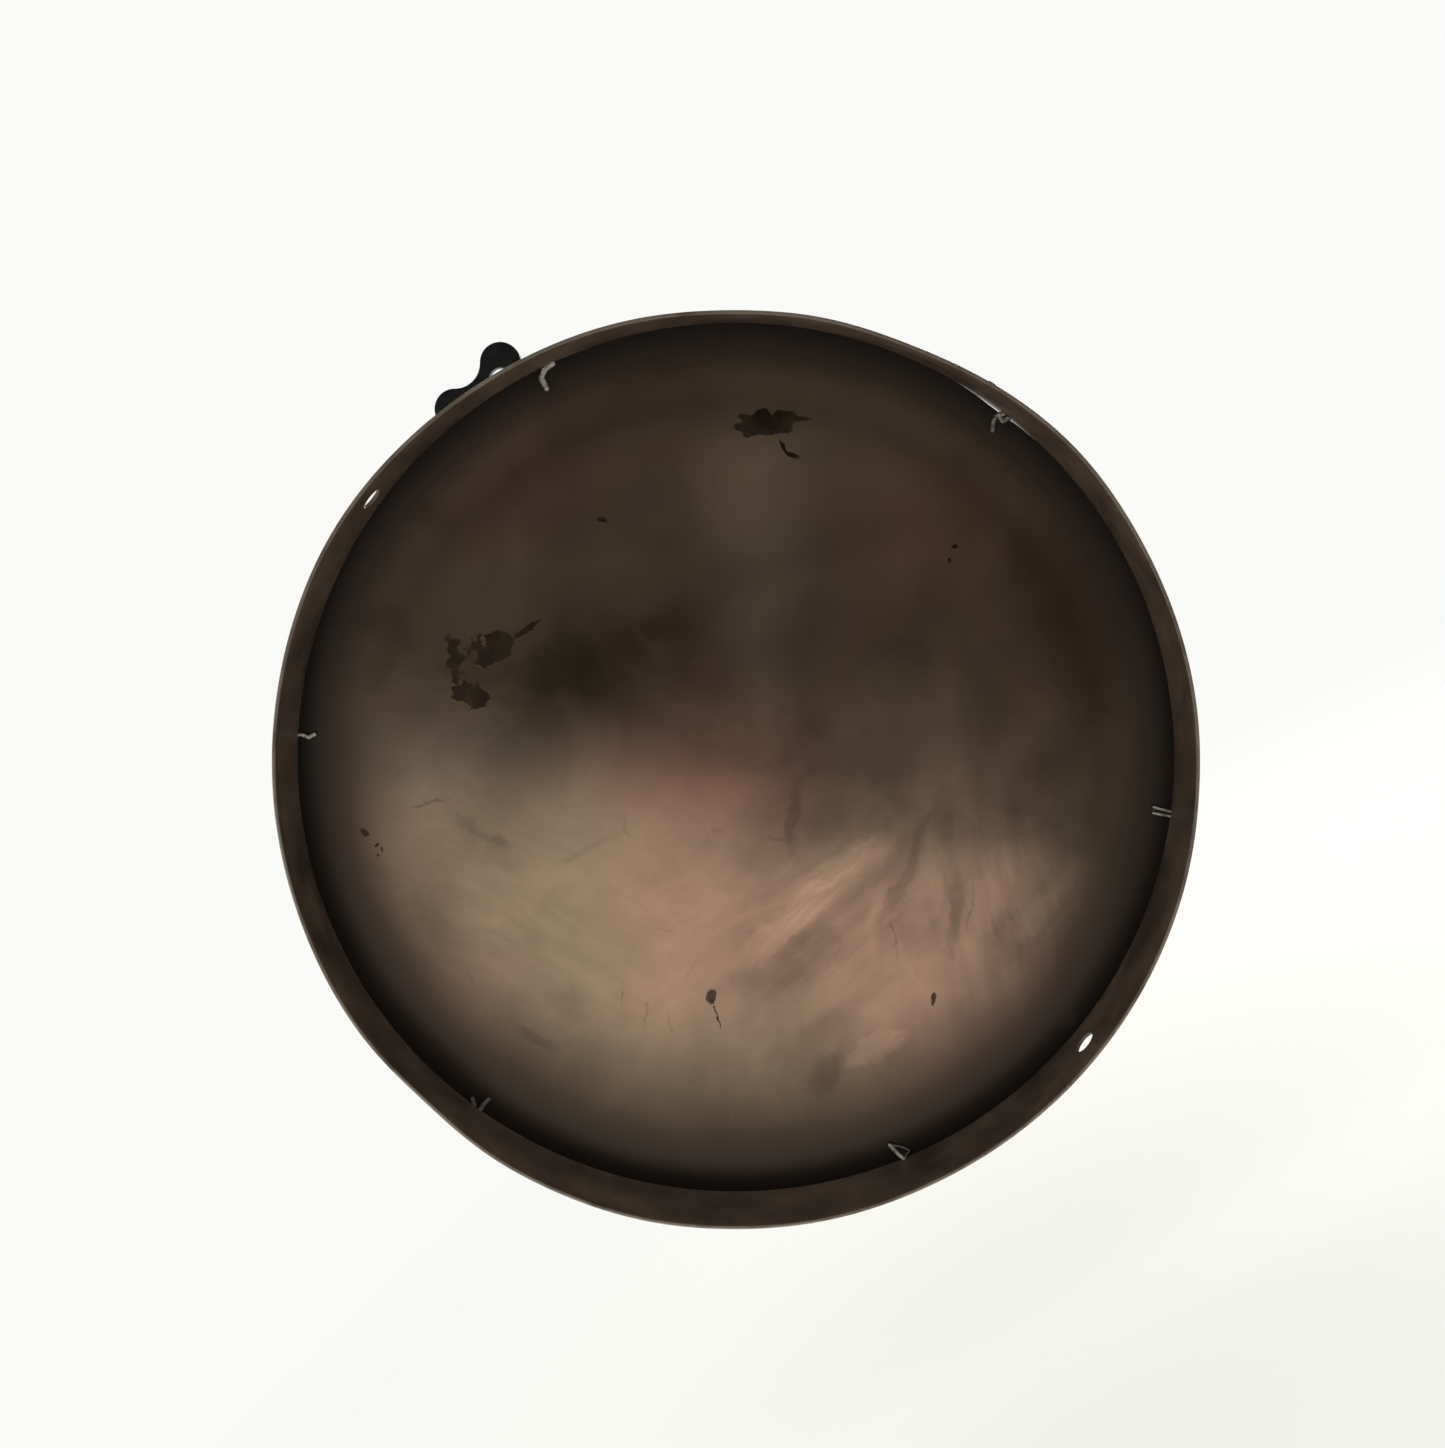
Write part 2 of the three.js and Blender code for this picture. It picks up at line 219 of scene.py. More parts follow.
def softened(corners, radius, segments=3):
    """The closed outline through these corners with each one rounded off. It ends where it starts."""
    outline = []
    for i, corner in enumerate(corners):
        corner = Vector(corner)
        before = (Vector(corners[i - 1]) - corner).normalized()
        after = (Vector(corners[(i + 1) % len(corners)]) - corner).normalized()
        half = before.angle(after) / 2
        cut = radius / math.tan(half)
        middle = corner + (before + after).normalized() * (radius / math.sin(half))
        start, end = corner + before * cut - middle, corner + after * cut - middle
        for step in range(segments + 1):
            spoke = start.lerp(end, step / segments).normalized() * radius
            outline.append(middle + spoke)
    return [*outline, outline[0]]


def ring(name, inner, outer, start, end, axis_height, rounding, steps=64):
    """A washer or sleeve with softened corners."""
    corners = [(inner, start), (outer, start), (outer, end), (inner, end)]
    return turned(name, softened(corners, rounding), axis_height, steps)


def cut(piece, cutter, operation="DIFFERENCE"):
    """Cuts piece with cutter, joins it on or keeps what is inside it, and takes the cutter away."""
    select_only(piece)
    modifier = piece.modifiers.new(operation.title(), "BOOLEAN")
    modifier.object, modifier.operation, modifier.solver = cutter, operation, "EXACT"
    bpy.ops.object.modifier_apply(modifier=modifier.name)
    bpy.data.objects.remove(cutter)


def applied(piece, kind, **settings):
    """Adds a modifier with these settings and applies it."""
    select_only(piece)
    modifier = piece.modifiers.new(kind.title(), kind)
    for key, value in settings.items():
        setattr(modifier, key, value)
    bpy.ops.object.modifier_apply(modifier=modifier.name)


def reshaped(piece, move):
    """Moves every vertex by a function of where it is, as a sculptor does."""
    for vertex in piece.data.vertices:
        vertex.co = move(vertex.co.copy())
    piece.data.update()


def finished(piece, node, body, slot, *materials, smooth=35):
    """Smooths the piece, gives it its finish and hands it to the frame in place of its CAD node."""
    select_only(piece)
    bpy.ops.object.shade_smooth_by_angle(angle=math.radians(smooth))
    piece.data.materials.clear()
    for material in materials:
        piece.data.materials.append(material)
    piece.name = piece.data.name = f"{node}_made"
    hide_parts(node)
    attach(piece, body)
    return piece


def gong_angle(gong, place):
    return math.degrees(math.atan2(place.z - gong.axis_height, place.x))


def on_gong(gong, angle, radius, y):
    """A place on the gong, from its angle in degrees, its distance from the axis and its y."""
    turn = math.radians(angle)
    return Vector((radius * math.cos(turn), y, gong.axis_height + radius * math.sin(turn)))


def facing_out(gong, angle, radius, y):
    """The matrix that sets a piece on the gong: its own Z points out, its X along the wall, its Y to the
    front."""
    return Matrix.Translation(on_gong(gong, angle, radius, y)) @ Matrix.Rotation(
        math.radians(90 - angle), 4, "Y"
    )


# The plate keeps the hoop round, but its free lip is knocked about: each entry is a bulge or a flat at the
# lip, at an angle, by so many millimetres, fading over so many degrees.
LIP_OUT_OF_ROUND = (
    (12, 1.7, 11),
    (36, -1.9, 10),
    (57, -1.6, 11),
    (115, 2, 16),
    (168, -1.2, 20),
    (193, -2.6, 9),
    (226, 1.3, 11),
    (247, 1.1, 12),
    (326, -0.6, 8),
)
PLATE_PULL = (21.4, 1.1, 4.5)  # the plate's edge stands off the hoop beside the seam
CORD_HOLE_ANGLES = (109.5, 289.5)

# Each tack is a few short beads in the corner of plate and hoop. A bead has half a width, a height, and the
# places it runs through: how far in from the wall and how far along it, in millimetres. The last number says
# how bare the tack is: 1 is clean weld metal, 0 is lacquered over.
TACKS = (
    (20.5, ((1.5, 2.3, ((0.6, 0.4), (2.5, -1.8))), (1.6, 2, ((0.8, 3.7), (3.9, 2.3), (3, -1.1))),
            (1.5, 2, ((4, -2.5), (7.4, -1.6), (11.4, 0.9)))), 0.45),
    (82.8, ((1.9, 2.4, ((0.7, 7.4), (1.7, 2.2), (5.1, -1.6), (11.3, -1.4))),), 0.85),
    (142.4, ((1.15, 2.3, ((0.5, 0.2), (3, 0.4))), (1.35, 2.1, ((3.6, 0.1), (6.4, -0.8), (9.4, 1.2)))), 0.9),
    (200, ((1.7, 2.2, ((0.8, 2.6), (3.2, 5.8))), (1.7, 2.4, ((0.6, -1.7), (4.8, -1.5), (8.6, -2)))), 0.15),
    (260.1, ((1.35, 2.8, ((11.2, 3.1), (4.3, 0.7), (0.6, -1.2))), (0.9, 1.7, ((11, 2.6), (7.6, -2.5), (3.9, -6))),
             (0.9, 1.7, ((3.3, -5.8), (0.8, -2.3))), (2, 0.6, ((8, 0.4), (3, -2)))), 1),
    (321.5, ((0.95, 2.2, ((10.3, -2.6), (0.6, -0.9))), (0.95, 2.2, ((10, 0.9), (0.6, 1.7))),
             (1.6, 0.6, ((9.4, -0.8), (0.8, 0.4)))), 0.9),
)


def bump_at(angle, at, by, over):
    away = (angle - at + 180) % 360 - 180
    return by * MM * math.exp(-((away / over) ** 2))


def hoop_bulge(gong, angle, y):
    """How far the hoop stands out of round, which fades from the lip to nothing at the plate."""
    fade = max(0.0, 1 - (y - gong.lip) / gong.plate_setback)
    return fade * sum(bump_at(angle, *bump) for bump in LIP_OUT_OF_ROUND)


def knocked(gong, place):
    """Where a place on the hoop ends up once its lip has been knocked out of round."""
    out = Vector((place.x, 0, place.z - gong.axis_height)).normalized()
    return place + out * hoop_bulge(gong, gong_angle(gong, place), place.y)


def plate_back(gong, radius):
    """Where the back of the plate is along Y, at a distance from the gong's axis."""
    edge = gong.hoop_radius - gong.hoop_wall - gong.plate_gap
    return gong.lip + gong.plate_setback + gong.plate_dome * (1 - (radius / edge) ** 2)


# ---- Finishes ----


def add(tree, kind, inputs=None, stops=None, **settings):
    """Adds one node to a material. An input is given by its name or number, and is a socket to link or a
    value."""
    made = tree.nodes.new(kind)
    for key, value in settings.items():
        setattr(made, key, value)
    for key, value in (inputs or {}).items():
        if isinstance(value, bpy.types.NodeSocket):
            tree.links.new(value, made.inputs[key])
        else:
            made.inputs[key].default_value = value
    if stops:
        elements = made.color_ramp.elements
        while len(elements) < len(stops):
            elements.new(0.5)
        for element, (place, shade) in zip(elements, stops):
            element.position, element.color = place, shade
    return made


def finish_named(name):
    """A new material and its node tree, with the output node already there."""
    material = bpy.data.materials.new(name)
    material.use_nodes = True
    tree = material.node_tree
    tree.nodes.clear()
    return material, tree


def patch(tree, place, middle, half, turn=0, soft=0.9):
    """A soft oval patch on the plate: 1 in its middle, fading to 0 outside it. Middle and half sizes are in
    millimetres across and up, and turn is in degrees."""
    local = add(
        tree,
        "ShaderNodeMapping",
        {
            "Vector": place,
            "Location": (middle[0] * MM, 0, middle[1] * MM),
            "Rotation": (0, -math.radians(turn), 0),
            "Scale": (half[0] * MM, 1000, half[1] * MM),
        },
        vector_type="TEXTURE",
    ).outputs["Vector"]
    away = add(tree, "ShaderNodeVectorMath", {0: local}, operation="LENGTH").outputs["Value"]
    return add(
        tree,
        "ShaderNodeMapRange",
        {"Value": away, "From Min": 1 - soft, "From Max": 1 + soft, "To Min": 1, "To Max": 0},
        interpolation_type="SMOOTHSTEP",
    ).outputs["Result"]


def summed(tree, start, terms):
    """start plus each term's strength times its mask."""
    total = start
    for strength, mask in terms:
        total = add(
            tree, "ShaderNodeMath", {0: mask, 1: strength, 2: total}, operation="MULTIPLY_ADD"
        ).outputs["Value"]
    return total


def wiped_plate(tree, gong):
    """Places on the plate, measured from its middle and squared up to the way it was wiped down."""
    place = add(tree, "ShaderNodeTexCoord").outputs["Object"]
    centred = add(
        tree, "ShaderNodeMapping", {"Vector": place, "Location": (0, 0, -gong.axis_height)}
    ).outputs["Vector"]
    turned_round = add(
        tree, "ShaderNodeMapping", {"Vector": centred, "Rotation": (0, -math.radians(WIPED), 0)}
    ).outputs["Vector"]
    return centred, turned_round


def smears(tree, place, turn, across, along, bend=0.03):
    """Strokes left by a rag: noise drawn out along one direction, bent by a slower noise, and drawn
    together into strokes with an edge."""
    slow = add(tree, "ShaderNodeTexNoise", {"Vector": place, "Scale": 9, "Detail": 2}).outputs["Color"]
    bent = add(
        tree, "ShaderNodeVectorMath", {0: slow, 1: (bend, 0, bend), 2: place}, operation="MULTIPLY_ADD"
    ).outputs["Vector"]
    drawn = add(
        tree, "ShaderNodeMapping", {"Vector": bent, "Rotation": (0, math.radians(turn), 0)}
    ).outputs["Vector"]
    drawn = add(tree, "ShaderNodeMapping", {"Vector": drawn, "Scale": (along, 1, across)}).outputs["Vector"]
    streaks = add(
        tree,
        "ShaderNodeTexNoise",
        {"Vector": drawn, "Scale": 1, "Detail": 5, "Roughness": 0.62, "Distortion": 0.4},
    ).outputs["Fac"]
    return add(
        tree,
        "ShaderNodeMapRange",
        {"Value": streaks, "From Min": 0.36, "From Max": 0.64},
        interpolation_type="SMOOTHSTEP",
    ).outputs["Result"]


WIPED = 33.1

# The plate's cloudy tone and painted reflections: patches lighter or darker than the sheet round them, partly
# cloudy lacquer and partly painted reflections of the room, such as the bright streak high in the middle. Each
# is a strength, then its middle, its half sizes and its turn, in millimetres and degrees on the wiped plate.
CLOUDS_AND_REFLECTIONS = (
    (0.72, (2, 178), (34, 34), 0),
    (0.82, (8, 128), (26, 46), -8),
    (0.42, (52, 180), (44, 28), -12),
    (0.58, (103, 136), (48, 38), -10),
    (0.28, (-110, 160), (64, 40), 12),
    (0.26, (-150, 105), (34, 30), 0),
    (-0.36, (-104, 62), (60, 34), 6),
    (-0.22, (-40, 70), (60, 30), 8),
    (-0.2, (-130, 40), (60, 22), 0),
    (-0.12, (150, 30), (50, 46), 0),
    (0.28, (-62, -18), (52, 20), 0),
    (0.16, (-70, -72), (60, 40), 10),
    (-0.2, (46, -30), (36, 12), -10),
    (-0.22, (120, -26), (56, 20), -12),
    (-0.2, (30, -164), (110, 26), 6),
    (-0.18, (-150, -110), (40, 44), 0),
)

# Strokes and smudges left by rag and thumb: a strength, middle, half sizes and turn as above, and how soft.
SMUDGES = (
    (-0.26, (26, -112), (34, 15), 24, 0.5),
    (0.16, (84, -148), (19, 11), 42, 0.6),
    (-0.2, (52, -176), (13, 8), 50, 0.5),
    (0.16, (124, -117), (30, 17), 4, 0.6),
    (-0.26, (125, -86), (4.6, 24), -5, 0.5),
    (-0.2, (96, -58), (3.4, 32), -22, 0.5),
    (0.16, (108, -70), (7, 30), -8, 0.5),
    (0.12, (82, -84), (4, 26), -14, 0.5),
    (-0.24, (157, -95), (6, 14), 8, 0.5),
    (0.2, (176, -78), (28, 6), 52, 0.5),
    (0.12, (148, -70), (9, 26), -20, 0.6),
    (-0.22, (34, -28), (3.6, 20), -4, 0.5),
    (-0.16, (26, -40), (9, 1.1), -8, 0.4),
    (-0.16, (-65, -32), (1.3, 8), 14, 0.4),
    (-0.14, (-84, -45), (18, 2.4), 24, 0.6),
    (-0.28, (-173, -20.5), (10, 1.1), 8, 0.4),
    (-0.14, (-147, -34), (16, 3), -38, 0.6),
    (-0.14, (-137, -42), (5, 5), 0, 0.6),
    (0.1, (-104, -62), (26, 12), -30, 0.6),
    (-0.1, (-170, -72), (14, 30), 12, 0.7),
    (-0.16, (-118, -157), (12, 3), -30, 0.5),
    (-0.12, (-152, -124), (1.2, 6), 12, 0.4),
    (-0.14, (-98, -136), (10, 12), 0, 0.6),
    (-0.2, (-62, -134), (0.7, 6), 8, 0.4),
    (-0.16, (-50, -143), (0.7, 9), -6, 0.4),
    (-0.16, (-38, -147), (0.7, 7), 4, 0.4),
    (-0.18, (-42, -92), (5, 0.5), -14, 0.4),
    (-0.16, (-26, -118), (8, 0.6), 52, 0.4),
    (-0.14, (-8, -33), (0.8, 4), 24, 0.4),
    (-0.14, (-14, -32), (0.8, 4), 24, 0.4),
    (0.16, (14, -212), (17, 0.5), -44, 0.4),
    (0.14, (-4, -206), (0.5, 8), 10, 0.4),
    (0.16, (-54, 76), (9, 0.9), -38, 0.6),
    (0.14, (14, 172), (2, 13), -18, 0.6),
    (0.12, (19, 173), (1, 12), -24, 0.6),
    (-0.3, (-202, 84), (20, 8), -10, 0.6),
    (-0.2, (-170, 140), (9, 16), 20, 0.6),
    (0.2, (42, -78), (58, 9), 40, 0.35),
    (0.24, (60, -56), (32, 8), 30, 0.3),
    (0.2, (82, -163), (21, 6), 25, 0.3),
    (0.1, (52, -66), (44, 1.6), 36, 0.6),
    (0.08, (66, -48), (26, 1.2), 26, 0.6),
    (-0.07, (44, -70), (40, 1.1), 38, 0.6),
    (0.07, (36, -92), (30, 1.3), 42, 0.6),
    (0.11, (80, -166), (20, 1.2), 24, 0.6),
    (0.1, (86, -160), (22, 1), 27, 0.6),
    (0.08, (78, -158), (16, 0.8), 30, 0.6),
    (0.08, (24, -96), (34, 1.6), 44, 0.6),
    (-0.2, (92, -98), (0.7, 12), 3, 0.3),
    (-0.2, (136, -80), (0.9, 14), -8, 0.3),
    (0.08, (116, -66), (1.4, 22), -10, 0.6),
    (0.08, (182, -88), (20, 1.4), 54, 0.6),
)

# Old lacquer dried on the plate: its middle, half sizes and turn as above. The large ones are torn at their
# edges, and FLAKED_OFF lists the holes in them.
LARGE_FILM = (
    ((15, 193.5), (17, 6), 4),
    ((31, 197.5), (11, 2.4), -8),
    ((-158, 62), (4.4, 14), 8),
    ((-139, 68), (15, 9), 22),
    ((-150, 42), (11, 6.6), -12),
)
FLAKED_OFF = (
    ((-150.5, 59), (3.2, 6.4), -20),
    ((-142, 72), (1.6, 2.6), 10),
)
SMALL_FILM = (
    ((26, 181), (1.3, 4.6), 30),
    ((31, 176.5), (4.8, 1.3), -22),
    ((-118, 79), (10, 1.7), 36),
    ((-13.5, -132.5), (2.7, 4.6), -10),
    ((-9.6, -144.5), (0.55, 7.4), 18),
    ((115, -133), (1.4, 3.6), -14),
    ((-75, 141), (2.4, 1.5), -24),
    ((121.5, 126.5), (2.2, 1.2), 20),
    ((119, 118.5), (1.1, 1.6), 0),
    ((-211.5, -36.5), (3, 1.6), -34),
    ((-204.5, -44), (1.6, 1), 30),
    ((-201.6, -46.5), (0.9, 1.5), 10),
    ((-204, -49.5), (1.2, 0.8), -20),
)


def plate_back_steel(gong):
    """Lacquered cold-rolled sheet, wiped and handled: a soft dark mirror with cloudy tints, rag smears and
    dry stains, and with painted reflections among its tints and painted shade towards the hoop."""
    material, tree = finish_named("Lacquered steel sheet, back")
    centred, wiped = wiped_plate(tree, gong)

    # Thick and thin lacquer: a slow cloudiness a hand wide, under the patches, which are partly lacquer rubbed more
    # or less and partly painted reflections.
    cloud = add(
        tree,
        "ShaderNodeTexNoise",
        {"Vector": wiped, "Scale": 13, "Detail": 4, "Roughness": 0.5, "Distortion": 0.5},
    ).outputs["Fac"]
    rag_up = smears(tree, wiped, 40, 62, 9)
    rag_across = smears(tree, wiped, 100, 70, 10)
    rag_left = smears(tree, wiped, -24, 40, 12, 0.06)
    water = add(
        tree,
        "ShaderNodeTexNoise",
        {"Vector": wiped, "Scale": 42, "Detail": 6, "Roughness": 0.65, "Distortion": 1.2},
    ).outputs["Fac"]
    tone = summed(tree, 0.42, [(0.9, cloud), (0.26, water)])
    # These patches add painted reflections as well as cloudy lacquer.
    tone = summed(tree, tone, [(strength, patch(tree, wiped, *where)) for strength, *where in CLOUDS_AND_REFLECTIONS])

    def rubbed(streaks, where, strength):
        centred_streaks = add(
            tree, "ShaderNodeMath", {0: streaks, 1: 0.5}, operation="SUBTRACT"
        ).outputs["Value"]
        return strength, add(
            tree, "ShaderNodeMath", {0: centred_streaks, 1: patch(tree, wiped, *where)}, operation="MULTIPLY"
        ).outputs["Value"]

    tone = summed(
        tree,
        tone,
        [
            rubbed(rag_up, ((50, -86), (84, 56), 25), 0.2),
            rubbed(rag_across, ((146, -72), (48, 66), 0), 0.24),
            rubbed(rag_left, ((-110, -74), (96, 66), 0), 0.16),
        ],
    )
    # The strokes themselves wander by some millimetres, and their edges are dragged out finer still.
    wander = add(
        tree, "ShaderNodeTexNoise", {"Vector": wiped, "Scale": 24, "Detail": 5, "Roughness": 0.62}
    ).outputs["Color"]
    dragged = add(
        tree, "ShaderNodeVectorMath", {0: wander, 1: (0.03, 0, 0.03), 2: wiped}, operation="MULTIPLY_ADD"
    ).outputs["Vector"]
    dragged = add(
        tree, "ShaderNodeMapping", {"Vector": dragged, "Location": (-0.015, 0, -0.015)}
    ).outputs["Vector"]
    tone = summed(tree, tone, [(strength, patch(tree, dragged, *where)) for strength, *where in SMUDGES])

    # Painted shade: the tone darkens towards the hoop, most at the foot, for the hoop wall's shade and dark
    # reflection.
    low = add(tree, "ShaderNodeMapping", {"Vector": wiped, "Location": (0, 0, -18 * MM), "Scale": (1, 0, 1)})
    reach = add(tree, "ShaderNodeVectorMath", {0: low.outputs["Vector"]}, operation="LENGTH").outputs["Value"]
    painted_rim_shade = add(
        tree,
        "ShaderNodeMapRange",
        {"Value": reach, "From Min": 165 * MM, "From Max": 245 * MM, "To Min": 1, "To Max": 0.17},
        interpolation_type="SMOOTHSTEP",
    ).outputs["Result"]
    tone = add(tree, "ShaderNodeMath", {0: tone, 1: painted_rim_shade}, operation="MULTIPLY").outputs["Value"]

    # Heat and thick lacquer turn the steel olive in places and copper-pink in others. The patches below are partly
    # such tints and partly painted reflections: the pink ones in the middle are a painted reflection of a person in
    # front of the plate.
    hue = add(
        tree,
        "ShaderNodeTexNoise",
        {"Vector": wiped, "Scale": 8, "Detail": 2, "W": 4.2},
        noise_dimensions="4D",
    )
    steel = add(
        tree,
        "ShaderNodeValToRGB",
        {"Fac": hue.outputs["Fac"]},
        stops=[(0.36, linear("#A0896F")), (0.5, tuple(gong.plate_colour)), (0.64, linear("#AE8C75"))],
    ).outputs["Color"]
    for shade, where in (
        ("#AC836C", ((-10, 0), (52, 30), 0)),
        ("#AA846E", ((28, -18), (16, 26), 0)),
        ("#AC856C", ((103, 136), (46, 38), 0)),
        ("#A98771", ((-120, 160), (60, 34), 10)),
        ("#A08C75", ((22, 96), (30, 46), 0)),
        ("#A08C75", ((-170, 10), (46, 18), 0)),
    ):
        steel = add(
            tree,
            "ShaderNodeMix",
            {0: patch(tree, wiped, *where), 6: steel, 7: linear(shade)},
            data_type="RGBA",
        ).outputs[2]
    sheet = add(tree, "ShaderNodeVectorMath", {0: steel, 3: tone}, operation="SCALE").outputs["Vector"]

    # Dried film: ragged dark spots and streaks, the small ones frayed at their edges and the large ones torn.
    def frayed(scale, by):
        fray = add(
            tree, "ShaderNodeTexNoise", {"Vector": wiped, "Scale": scale, "Detail": 4}
        ).outputs["Color"]
        moved = add(
            tree, "ShaderNodeVectorMath", {0: fray, 1: (by, 0, by), 2: wiped}, operation="MULTIPLY_ADD"
        ).outputs["Vector"]
        return add(
            tree, "ShaderNodeMapping", {"Vector": moved, "Location": (-by / 2, 0, -by / 2)}
        ).outputs["Vector"]

    def largest(place, marks, soft):
        most = 0.0
        for where in marks:
            mask = patch(tree, place, *where, soft)
            most = add(tree, "ShaderNodeMath", {0: mask, 1: most}, operation="MAXIMUM").outputs["Value"]
        return most

    torn = frayed(150, 0.012)
    left_on = add(
        tree,
        "ShaderNodeMath",
        {0: largest(torn, LARGE_FILM, 0.06), 1: largest(torn, FLAKED_OFF, 0.2)},
        operation="SUBTRACT",
        use_clamp=True,
    ).outputs["Value"]
    film = add(
        tree,
        "ShaderNodeMath",
        {0: left_on, 1: largest(frayed(320, 0.004), SMALL_FILM, 0.14)},
        operation="MAXIMUM",
    ).outputs["Value"]
    thick = add(
        tree,
        "ShaderNodeMapRange",
        {"Value": water, "From Min": 0.3, "From Max": 0.6, "To Min": 0.72, "To Max": 1},
    )
    film = add(
        tree, "ShaderNodeMath", {0: film, 1: thick.outputs["Result"]}, operation="MULTIPLY", use_clamp=True
    ).outputs["Value"]

    coated = add(
        tree,
        "ShaderNodeMix",
        {0: film, 6: sheet, 7: tuple(gong.plate_film)},
        data_type="RGBA",
    ).outputs[2]
    roughness = add(
        tree,
        "ShaderNodeMapRange",
        {"Value": cloud, "From Min": 0.3, "From Max": 0.7, "To Min": 0.13, "To Max": 0.17},
    ).outputs["Result"]
    # The sheet's own rolling grain and hairline scratches, half a millimetre apart so that they can be seen.
    hair = add(
        tree,
        "ShaderNodeMapping",
        {"Vector": wiped, "Rotation": (0, math.radians(20), 0), "Scale": (60, 1, 1800)},
    ).outputs["Vector"]
    grain = add(tree, "ShaderNodeTexNoise", {"Vector": hair, "Scale": 1, "Detail": 2}).outputs["Fac"]
    bump = add(
        tree, "ShaderNodeBump", {"Height": grain, "Strength": 0.05, "Distance": 0.1 * MM}
    ).outputs["Normal"]
    bump = add(
        tree, "ShaderNodeBump", {"Height": film, "Strength": 0.12, "Distance": 0.08 * MM, "Normal": bump}
    ).outputs["Normal"]
    rougher = add(
        tree, "ShaderNodeMath", {0: film, 1: 0.08, 2: roughness}, operation="MULTIPLY_ADD"
    ).outputs["Value"]
    # Lacquer gathered towards the hoop and painted shade: a dull brown band that also stands in for the hoop's
    # dark wall mirrored in the sheet, with painted shade darkest in the corner itself.
    flat = add(tree, "ShaderNodeMapping", {"Vector": centred, "Scale": (1, 0, 1)}).outputs["Vector"]
    from_axis = add(tree, "ShaderNodeVectorMath", {0: flat}, operation="LENGTH").outputs["Value"]
    ragged = add(
        tree, "ShaderNodeMath", {0: water, 1: 6 * MM, 2: from_axis}, operation="MULTIPLY_ADD"
    ).outputs["Value"]
    lacquer_and_wall_shade_band = add(
        tree,
        "ShaderNodeMapRange",
        {"Value": ragged, "From Min": 206 * MM, "From Max": 246 * MM},
        interpolation_type="SMOOTHSTEP",
    ).outputs["Result"]
    # Painted shade: darker still in the corner, where the hoop's wall shades the sheet.
    corner = add(
        tree,
        "ShaderNodeMapRange",
        {"Value": ragged, "From Min": 238 * MM, "From Max": 249 * MM},
        interpolation_type="SMOOTHSTEP",
    ).outputs["Result"]
    brown = add(
        tree, "ShaderNodeMix", {0: corner, 6: linear("#3A2F26"), 7: linear("#2A221C")}, data_type="RGBA"
    ).outputs[2]
    coated = add(tree, "ShaderNodeMix", {0: lacquer_and_wall_shade_band, 6: coated, 7: brown}, data_type="RGBA").outputs[2]
    rougher = add(
        tree, "ShaderNodeMath", {0: lacquer_and_wall_shade_band, 1: 0.15, 2: rougher}, operation="MULTIPLY_ADD"
    ).outputs["Value"]
    metallic = add(
        tree, "ShaderNodeMath", {0: lacquer_and_wall_shade_band, 1: -0.4, 2: 1.0}, operation="MULTIPLY_ADD"
    ).outputs["Value"]
    shader = add(
        tree,
        "ShaderNodeBsdfPrincipled",
        {"Base Color": coated, "Metallic": metallic, "Roughness": rougher, "Normal": bump},
    )
    add(tree, "ShaderNodeOutputMaterial", {"Surface": shader.outputs["BSDF"]})
    return material


